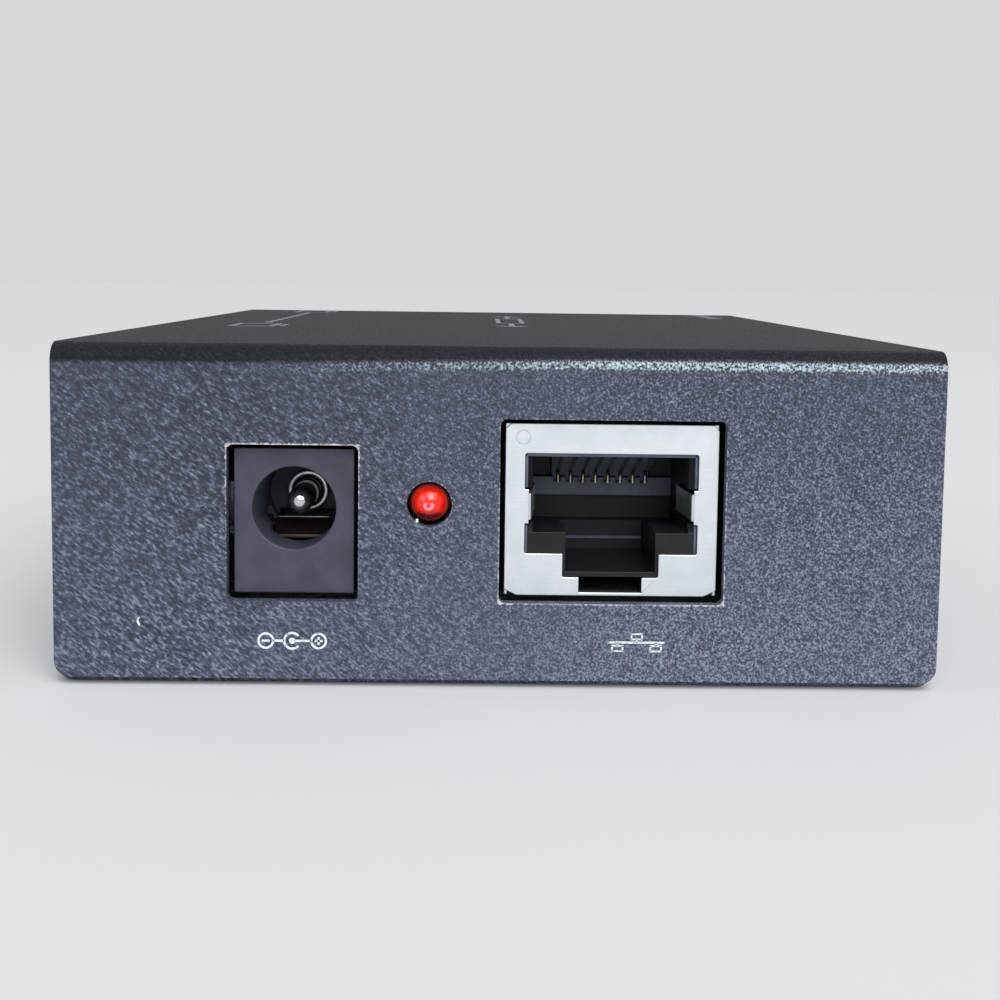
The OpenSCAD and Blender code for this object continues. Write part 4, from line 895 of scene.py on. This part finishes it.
@dataclass
class Electronics:
    """The board with its posts, screws, chips and small parts, of which the holes show a little."""

    shop: Workshop
    package_soft: float = 0.1
    can_soft: float = 0.2

    def build(self) -> None:
        """Finishes every solid on the board."""
        package, can = self.package_soft, self.can_soft
        self.shop.dress({
            "circuit_board": 0.0, "board_standoffs": 0.0, "board_screws": 0.0, "main_chip": package,
            "main_chip_leads": 0.0, "line_transformer": can, "line_transformer_leads": 0.0, "memory_chip": package,
            "memory_chip_leads": 0.0, "voltage_regulator": package, "voltage_regulator_leads": 0.0,
            "power_inductor": can, "electrolytic_capacitors": can, "crystal": can, "surge_arrays": 0.0,
            "ceramic_capacitors": 0.0, "chip_resistors": 0.0,
        })


@dataclass
class PowerJack:
    """The power jack: its moulded body, its spring and the turned pin with the rolled collar round its foot."""

    shop: Workshop
    x: float = -15.4
    z: float = 13.4
    body_soft: float = 0.1
    pin_r: float = 1.0
    nose: float = -43.7
    nose_l: float = 1.0
    dome_share: float = 0.96
    dome_l: float = 0.85
    foot: float = -37.7
    foot_step: float = 0.1
    root_r: float = 1.1
    leg_half: float = 1.1
    leg_t: float = 0.3
    leg_soft: float = 0.08
    collar_r: float = 1.46
    collar_wire: float = 0.2
    collar_rise: float = 0.09
    collar_lift: float = 0.02
    crest_y: float = -40.5
    crest_half: float = 0.07
    crest_l: float = 4.0
    crest_in: float = 0.1
    crest_rise: float = 0.02
    crest_soft: float = 0.03

    def pin(self) -> None:
        """A pin with a domed nose, a small shoulder behind it, a thicker root and a leg down to the board."""
        low, high = (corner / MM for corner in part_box("dc_jack_pin"))
        turns = [math.radians(a) for a in range(6, 91, 7)]
        dome = [(self.pin_r * self.dome_share * math.sin(a), self.nose + self.dome_l * (1 - math.cos(a)))
                for a in turns]
        stem = [(self.pin_r, self.nose + self.nose_l), (self.pin_r, self.foot),
                (self.root_r, self.foot + self.foot_step), (self.root_r, high.y - self.leg_t)]
        shape = Shape()
        shape.turn(dome + stem, self.x, self.z)
        shape.block((self.x - self.leg_half, high.y - self.leg_t, low.z),
                    (self.x + self.leg_half, high.y, self.z + self.root_r), self.leg_soft)
        self.shop.place("centre_pin", shape, "nickel_pin", replaces=["dc_jack_pin"], sharp=35)

    def collar(self) -> None:
        """A bright rolled rim round the boss at the pin's foot."""
        turns = [2 * math.pi * i / 12 for i in range(12)]
        middle = self.foot - self.collar_lift
        ring = [(self.collar_r + self.collar_wire * math.cos(a), middle + self.collar_rise * math.sin(a))
                for a in turns]
        shape = Shape()
        shape.turn(ring, self.x, self.z, closed=True)
        self.shop.place("pin_collar", shape, "nickel_shell", sharp=80)

    def crest(self) -> None:
        """The wiped line along the bend of the spring, where a plug's sleeve rubs it."""
        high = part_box("dc_jack_leaf")[1] / MM
        shape = Shape()
        shape.block((high.x - self.crest_in - self.crest_l, self.crest_y - self.crest_half, high.z - self.crest_in),
                    (high.x - self.crest_in, self.crest_y + self.crest_half, high.z + self.crest_rise),
                    self.crest_soft)
        self.shop.place("leaf_crest", shape, "tinned_lead", "dc_leaf", sharp=60)

    def build(self) -> None:
        """Finishes the jack and makes the pin, its collar and the wiped line."""
        self.shop.dress({"dc_jack_body": self.body_soft, "dc_jack_pin": 0.0, "dc_jack_leaf": self.body_soft,
                         "dc_jack_leaf_terminal": 0.0, "dc_jack_switch_contact": 0.0})
        self.pin()
        self.collar()
        self.crest()


@dataclass
class StatusLamp:
    """The red lamp between the sockets, with its two leads."""

    shop: Workshop
    lead_soft: float = 0.05

    def build(self) -> None:
        """Finishes the lens and the leads."""
        self.shop.dress({"led_lens": 0.0, "led_leads": self.lead_soft})


@dataclass
class NetworkJack:
    """The network jack: shell, housing, comb, contact wires, side fingers, and the lips and steps of its inside."""

    shop: Workshop
    x: float = 8.5
    front: float = -46.4
    window_half: float = 6.55
    window_top: float = 17.75
    window_low: float = 10.1
    lug_half: float = 6.25
    lug_low: float = 12.4
    lug_high: float = 15.0
    wire_pitch: float = 1.02
    wire_r: float = 0.17
    wire_count: int = 8
    wire_line: tuple[Point2, ...] = ((-44.0, 17.36), (-43.6, 17.24), (-42.0, 16.72), (-40.0, 16.06), (-38.4, 15.58),
                                     (-37.8, 15.42), (-37.5, 15.3), (-37.32, 15.08), (-37.25, 14.8), (-37.22, 14.25))
    finger_low: float = 12.7
    finger_high: float = 14.7
    finger_gauge: float = 0.18
    finger_lean: float = 5.0
    finger_bend: float = 0.14
    lip_in: float = 0.22
    lip_drop: float = 0.28
    lip_near: float = 0.27
    lip_far: float = 0.55
    lip_soft: float = 0.07
    step_line: tuple[Point2, ...] = ((-36.92, 9.5), (-36.6, 9.95), (-36.2, 10.15))
    step_half: float = 3.35
    step_gauge: float = 0.3
    strip_line: tuple[Point2, ...] = ((-46.05, 7.02), (-44.8, 7.22), (-43.5, 7.46))
    strip_half: float = 2.38
    strip_gauge: float = 0.1
    stamp_at: Point2 = (-6.7, 18.95)
    stamp_inner: float = 0.5
    stamp_outer: float = 0.55
    stamp_rise: float = 0.006
    stamp_depth: float = 0.05

    def wires(self) -> None:
        """Eight round wires that leave the roof, slope to the rear and dip into the comb."""
        shape = Shape()
        for i in range(self.wire_count):
            at = self.x + (i - (self.wire_count - 1) / 2) * self.wire_pitch
            shape.wire([(at, y, z) for y, z in self.wire_line], self.wire_r)
        self.shop.place("contact_wires", shape, "gold_contact", "rj45_wires", ["rj45_contact_wires"], 60)

    def fingers(self) -> None:
        """Two shield fingers, folded in from the face with a round root and a curled tip."""
        lean, bend = math.tan(math.radians(self.finger_lean)), self.finger_bend
        turns = [math.radians(a) for a in (0, 20, 40, 60, 80)]
        for name, side in (("left", -1), ("right", 1)):
            node = f"rj45_{name}_finger"
            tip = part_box(node)[1].y / MM
            root = [(self.lug_half - bend * math.sin(a), self.front + self.finger_gauge / 2 + bend * (1 - math.cos(a)))
                    for a in turns]
            start, run = self.front + 0.45, tip - self.front - 1.0
            blade = [(self.lug_half - bend - lean * d, start + d) for d in (0.1, run * 0.5, run)]
            end = self.lug_half - bend - lean * run
            curl = [(end + 0.04, tip - 0.25), (end + 0.16, tip - 0.06)]
            shape = Shape()
            shape.strip([(self.x + side * a, b) for a, b in root + blade + curl], self.finger_low, self.finger_high,
                        self.finger_gauge, Bend.LEVEL)
            self.shop.place(f"{name}_finger", shape, "nickel_shell", f"rj45_{name}_spring", [node], 50)

    def lips(self) -> None:
        """The thin moulded lip just behind the window, along its top and its sides."""
        shape = Shape()
        half, top, soft = self.window_half - 0.02, self.window_top, self.lip_soft
        y0, y1 = self.front + self.lip_near, self.front + self.lip_far
        shape.block((self.x - half, y0, top - self.lip_drop), (self.x + half, y1, top + 0.05), soft)
        for side in (-1, 1):
            a, b = sorted((self.x + side * half, self.x + side * (half - self.lip_in)))
            shape.block((a, y0, self.lug_high + 0.1), (b, y1, top), soft)
            shape.block((a, y0, self.window_low), (b, y1, self.lug_low - 0.1), soft)
        self.shop.place("window_lips", shape, "carrier_plastic")

    def step(self) -> None:
        """The sloped step low on the rear wall of the keyway."""
        shape = Shape()
        shape.strip(self.step_line, self.x - self.step_half, self.x + self.step_half, self.step_gauge, Bend.UPRIGHT)
        self.shop.place("keyway_step", shape, "carrier_plastic")

    def latch_strip(self) -> None:
        """The dull strip of folded shell that lies under the latch slot."""
        shape = Shape()
        shape.strip(self.strip_line, self.x - self.strip_half, self.x + self.strip_half, self.strip_gauge,
                    Bend.UPRIGHT)
        self.shop.place("latch_strip", shape, "tinned_lead")

    def stamp(self) -> None:
        """The faint round mark of the press tool in the upper left of the face."""
        near, deep = self.front - self.stamp_rise, self.front + self.stamp_depth
        ring = [(self.stamp_inner, near), (self.stamp_outer, near), (self.stamp_outer, deep), (self.stamp_inner, deep)]
        shape = Shape()
        shape.turn(ring, self.x + self.stamp_at[0], self.stamp_at[1], closed=True, steps=40)
        self.shop.place("press_mark", shape, "tinned_lead")

    def build(self) -> None:
        """Finishes the jack and makes all that shows in and on it."""
        self.shop.dress({"rj45_shell": 0.05, "rj45_housing": 0.08, "rj45_contact_carrier": 0.05,
                         "rj45_contact_wires": 0.0, "rj45_contact_runs": 0.0, "rj45_contact_tails": 0.0,
                         "rj45_left_finger": 0.0, "rj45_right_finger": 0.0})
        self.wires()
        self.fingers()
        self.lips()
        self.step()
        self.latch_strip()
        self.stamp()


@dataclass
class VideoSocket:
    """The video socket at the rear: shell, springs, tongue and contacts."""

    shop: Workshop
    shell_soft: float = 0.05

    def build(self) -> None:
        """Finishes every solid of the socket."""
        self.shop.dress({"hdmi_shell": self.shell_soft, "hdmi_housing": self.shell_soft, "hdmi_contacts": 0.0,
                         "hdmi_contact_tails": 0.0, "hdmi_upper_springs": 0.0, "hdmi_lower_springs": 0.0})


class Sign(Shape):
    """Print in the making: flat outlines on one side of the box."""

    def __init__(self, side: Side, at: Point3, ink: float, stroke: float) -> None:
        """Starts with nothing printed.

        Args:
            side: the side of the box that it is on.
            at: the place of its middle.
            ink: how thick the ink lies.
            stroke: the usual width of its strokes.
        """
        super().__init__()
        self.right, self.up, self.out = (Vector(way) for way in side.value)
        self.at = Vector(at)
        self.ink = ink
        self.stroke = stroke

    def fill(self, rim: Sequence[Point2]) -> None:
        """Lays a filled outline on the side, as thick as ink."""
        spots = [self.at + self.right * a + self.up * b for a, b in rim]
        self.skin([[spot + self.out * lift for spot in spots] for lift in (self.ink, -self.ink)])

    def bar(self, a: Point2, b: Point2, width: float = 0.0) -> None:
        """Draws a straight stroke.

        Args:
            a: the middle of one end.
            b: the middle of the other.
            width: its width, or nothing for the usual one.
        """
        start, end = Vector(a), Vector(b)
        along = (end - start).normalized() * (width or self.stroke) / 2
        across = Vector((-along.y, along.x))
        self.fill([start - across, end - across, end + across, start + across])

    def arc(self, centre: Point2, radius: float, start: float = 0.0, end: float = 360.0) -> None:
        """Draws a curved stroke.

        Args:
            centre: the centre of its curve.
            radius: the radius of its middle line.
            start: the angle at which it begins, in degrees.
            end: the angle at which it ends.
        """
        half, steps = self.stroke / 2, max(6, int(abs(end - start) / 10))
        turns = [math.radians(start + (end - start) * i / steps) for i in range(steps + 1)]
        for t, u in zip(turns, turns[1:]):
            corners = ((radius - half, t), (radius + half, t), (radius + half, u), (radius - half, u))
            self.fill([(centre[0] + r * math.cos(a), centre[1] + r * math.sin(a)) for r, a in corners])

    def dot(self, centre: Point2, radius: float) -> None:
        """Draws a filled disc."""
        turns = [2 * math.pi * i / 24 for i in range(24)]
        self.fill([(centre[0] + radius * math.cos(a), centre[1] + radius * math.sin(a)) for a in turns])

    def box(self, low: Point2, high: Point2, width: float = 0.0) -> None:
        """Draws an open box.

        Args:
            low: its lowest corner, at the middle of the stroke.
            high: its highest corner.
            width: the stroke's width, or nothing for the usual one.
        """
        (x0, y0), (x1, y1), half = low, high, (width or self.stroke) / 2
        for a, b in (((x0 - half, y0), (x1 + half, y0)), ((x0 - half, y1), (x1 + half, y1)), ((x0, y0), (x0, y1)),
                     ((x1, y0), (x1, y1))):
            self.bar(a, b, width)


@dataclass
class Signs:
    """White print on the coat: plain pictograms that say what each socket is for."""

    shop: Workshop
    ink: float = 0.012
    stroke: float = 0.17
    fine: float = 0.13
    bold: float = 0.5
    heavy: float = 0.6
    dash: float = 0.7
    power_at: Point3 = (-15.4, -47.5, 3.5)
    network_at: Point3 = (10.5, -47.5, 3.6)
    video_at: Point3 = (0.0, 47.5, 3.6)
    link_at: Point3 = (-23.5, 15.5, 25.75)
    arrow_at: Point3 = (1.75, 10.5, 25.75)
    dots_at: Point3 = (28.5, 37.0, 25.75)

    def begin(self, side: Side, at: Point3) -> Sign:
        """Begins a sign in this ink and stroke."""
        return Sign(side, at, self.ink, self.stroke)

    def lay(self, sign: Sign, name: str, slot: str = "ink") -> None:
        """Puts a finished sign on the box."""
        self.shop.place(name, sign, slot, sharp=20)

    def power(self) -> None:
        """Direct current with its plus on the pin: minus, sleeve and core, and plus on one line."""
        pole, ring, mark, sleeve = 1.98, 0.55, 0.3, 0.6
        sign = self.begin(Side.FRONT, self.power_at)
        for side in (-1, 1):
            sign.arc((side * pole, 0), ring)
            sign.bar((side * pole - mark, 0), (side * pole + mark, 0))
        sign.bar((pole, -mark), (pole, mark))
        sign.bar((ring - pole, 0), (-sleeve, 0))
        sign.arc((0, 0), sleeve, 40, 320)
        sign.dot((0, 0), 0.24)
        sign.bar((0.2, 0), (pole - ring, 0))
        self.lay(sign, "power_sign")

    def network(self) -> None:
        """Three stations on one line."""
        line, place, half, stem, top = 2.1, 1.45, 0.4, 0.25, 0.66
        sign = self.begin(Side.FRONT, self.network_at)
        sign.bar((-line, 0), (line, 0))
        sign.bar((0, 0), (0, stem))
        for at in (-place, place):
            sign.bar((at, 0), (at, -stem))
            sign.box((at - half, -top), (at + half, -stem), self.fine)
        sign.box((-half, stem), (half, top), self.fine)
        self.lay(sign, "network_sign")

    def video(self) -> None:
        """A screen on its stand, under the video socket."""
        half, top, foot, stand = 1.1, 0.85, -0.35, 0.6
        sign = self.begin(Side.REAR, self.video_at)
        sign.box((-half, foot), (half, top))
        sign.bar((0, foot), (0, -0.7))
        sign.bar((-stand, -0.75), (stand, -0.75))
        self.lay(sign, "video_sign")

    def link(self) -> None:
        """Two screens joined by a dashed line, long ways on the cover."""
        far, half, top, foot, stand, floor = 25, 3.6, 2.5, -1.4, 2, -2.3
        sign = self.begin(Side.TOP, self.link_at)
        for at in (-far, far):
            sign.box((at - half, foot), (at + half, top), self.bold)
            sign.bar((at, foot), (at, floor), self.bold)
            sign.bar((at - stand, floor), (at + stand, floor), self.bold)
        for i in range(9):
            sign.bar((-18.4 + i * 4.2, 0.4), (-15.8 + i * 4.2, 0.4), self.dash)
        self.lay(sign, "link_sign", "shaded_top_ink")

    def arrows(self) -> None:
        """A box with an arrow out of each end, in the middle of the cover."""
        sign = self.begin(Side.TOP, self.arrow_at)
        for side in (-1, 1):
            sign.bar((side * 9, 0), (side * 16.8, 0), self.heavy)
            sign.bar((side * 17, 0.1), (side * 14.6, 1.6), self.heavy)
            sign.bar((side * 17, -0.1), (side * 14.6, -1.6), self.heavy)
        sign.box((-7, -1.3), (7, 1.3), self.bold)
        self.lay(sign, "arrow_sign", "shaded_top_ink")

    def dots(self) -> None:
        """Four dots in a row, at the far right of the cover."""
        sign = self.begin(Side.TOP, self.dots_at)
        for i in range(4):
            sign.dot((-6.6 + i * 4.4, 0), 1.1)
        self.lay(sign, "dot_row", "shaded_top_ink")

    def build(self) -> None:
        """Prints every sign."""
        for draw in (self.power, self.network, self.video, self.link, self.arrows, self.dots):
            draw()


@dataclass
class Studio:
    """A pale floor, soft lamps and the camera at the photograph's place.

    The camera's place, turn and focal length come from a fit to the box's corners and holes in the picture.
    """

    finishes: Finishes
    focal_px: float = 1420.4
    frame_px: float = 1000.0
    axis_row_px: float = 400.0
    sensor: float = 36.0
    eye: Point3 = (-1.54, -152.33, 31.15)
    yaw: float = 0.824
    pitch: float = 5.079
    roll: float = 0.748
    middle: Point3 = (0.0, -20.0, 12.0)
    floor_half: float = 3000.0
    floor_gap: float = 0.02
    sky_at: Point3 = (150.0, -700.0, 620.0)
    sky_spread: float = 60.0
    sky_power: float = 1.85
    panel_at: Point3 = (170.0, -700.0, 490.0)
    panel_size: Point2 = (320.0, 500.0)
    panel_power: float = 1.3
    pale: str = "#f3f4f6"
    fill: float = 0.42
    shown: float = 0.755

    def camera(self) -> None:
        """Sets the camera from the fitted place, turn, focal length and shift."""
        yaw, pitch, roll = (math.radians(a) for a in (self.yaw, self.pitch, self.roll))
        ahead = Vector((math.sin(yaw) * math.cos(pitch), math.cos(yaw) * math.cos(pitch), -math.sin(pitch)))
        level = Vector((math.cos(yaw), -math.sin(yaw), 0.0))
        above = level.cross(ahead)
        right = math.cos(roll) * level + math.sin(roll) * above
        up = -math.sin(roll) * level + math.cos(roll) * above
        data = bpy.data.cameras.new("camera")
        data.sensor_width = self.sensor
        data.lens = self.focal_px / self.frame_px * self.sensor
        data.shift_y = (self.axis_row_px - self.frame_px / 2) / self.frame_px
        data.clip_start, data.clip_end = 0.005, 20.0
        camera = bpy.data.objects.new("camera", data)
        turn = Matrix((right, up, -ahead)).transposed()
        camera.matrix_world = Matrix.Translation(Vector(self.eye) * MM) @ turn.to_4x4()
        bpy.context.scene.collection.objects.link(camera)
        bpy.context.scene.camera = camera

    def lamp(self, name: str, at: Point3, size: Point2 | None, power: float) -> None:
        """Adds one soft lamp that looks at the box.

        Args:
            name: the lamp's name.
            at: its place.
            size: its width and height, or nothing for a broad even panel of sky.
            power: its power in watts, or in watts per square metre for the sky.
        """
        if size:
            data = bpy.data.lights.new(name, "AREA")
            data.shape = "RECTANGLE"
            data.size, data.size_y = size[0] * MM, size[1] * MM
        else:
            # As even far off on the floor as it is on the box
            data = bpy.data.lights.new(name, "SUN")
            data.angle = math.radians(self.sky_spread)
        data.energy = power
        lamp = bpy.data.objects.new(name, data)
        away = Vector(self.middle) - Vector(at)
        lamp.matrix_world = Matrix.Translation(Vector(at) * MM) @ away.to_track_quat("-Z", "Y").to_matrix().to_4x4()
        bpy.context.scene.collection.objects.link(lamp)

    def surround(self) -> None:
        """An even surround: soft fill for the box, and pale to the camera, to metal and to glass."""
        world = bpy.data.worlds.new("surround")
        world.use_nodes = True
        n = Nodes(world.node_tree)
        seen = n.add("LightPath").outputs
        shiny = n.add("Math", {0: seen["Is Camera Ray"], 1: seen["Is Glossy Ray"]}, operation="MAXIMUM")
        pale = n.add("Math", {0: shiny, 1: seen["Is Transmission Ray"]}, operation="MAXIMUM")
        strength = n.add("MapRange", {"Value": pale, "To Min": self.fill, "To Max": self.shown})
        back = n.add("Background", {"Color": self.pale, "Strength": strength})
        n.add("OutputWorld", {"Surface": back})
        bpy.context.scene.world = world

    def floor(self) -> None:
        """A plain pale floor that reaches well past the view and keeps the box's shadow."""
        half, mesh = self.floor_half * MM, bpy.data.meshes.new("floor")
        mesh.from_pydata([(-half, -half, 0), (half, -half, 0), (half, half, 0), (-half, half, 0)], [], [(0, 1, 2, 3)])
        mesh.materials.append(self.finishes.of("floor"))
        ground = bpy.data.objects.new("floor", mesh)
        ground.location.z = -self.floor_gap * MM
        bpy.context.scene.collection.objects.link(ground)

    def build(self) -> None:
        """Places the camera, the surround, the floor and the lamps, and keeps colours as they are written."""
        self.camera()
        self.surround()
        self.floor()
        self.lamp("sky_lamp", self.sky_at, None, self.sky_power)
        self.lamp("front_lamp", self.panel_at, self.panel_size, self.panel_power)
        bpy.context.scene.view_settings.view_transform = "Standard"


def main() -> None:
    """Builds the studio and every sub-assembly in order, and reports what is left unfinished."""
    logging.basicConfig(level=logging.INFO, format="%(name)s: %(message)s")
    random.seed(7)
    finishes = Finishes()
    shop = Workshop(finishes)
    for part in (Studio(finishes), Case(shop), Electronics(shop), PowerJack(shop), StatusLamp(shop),
                 NetworkJack(shop), VideoSocket(shop), Signs(shop)):
        LOG.info("building %s", type(part).__name__)
        part.build()
    LOG.info("solids left without a finish: %s", sorted(shop.slots) or "none")


if __name__ == "__main__":
    main()
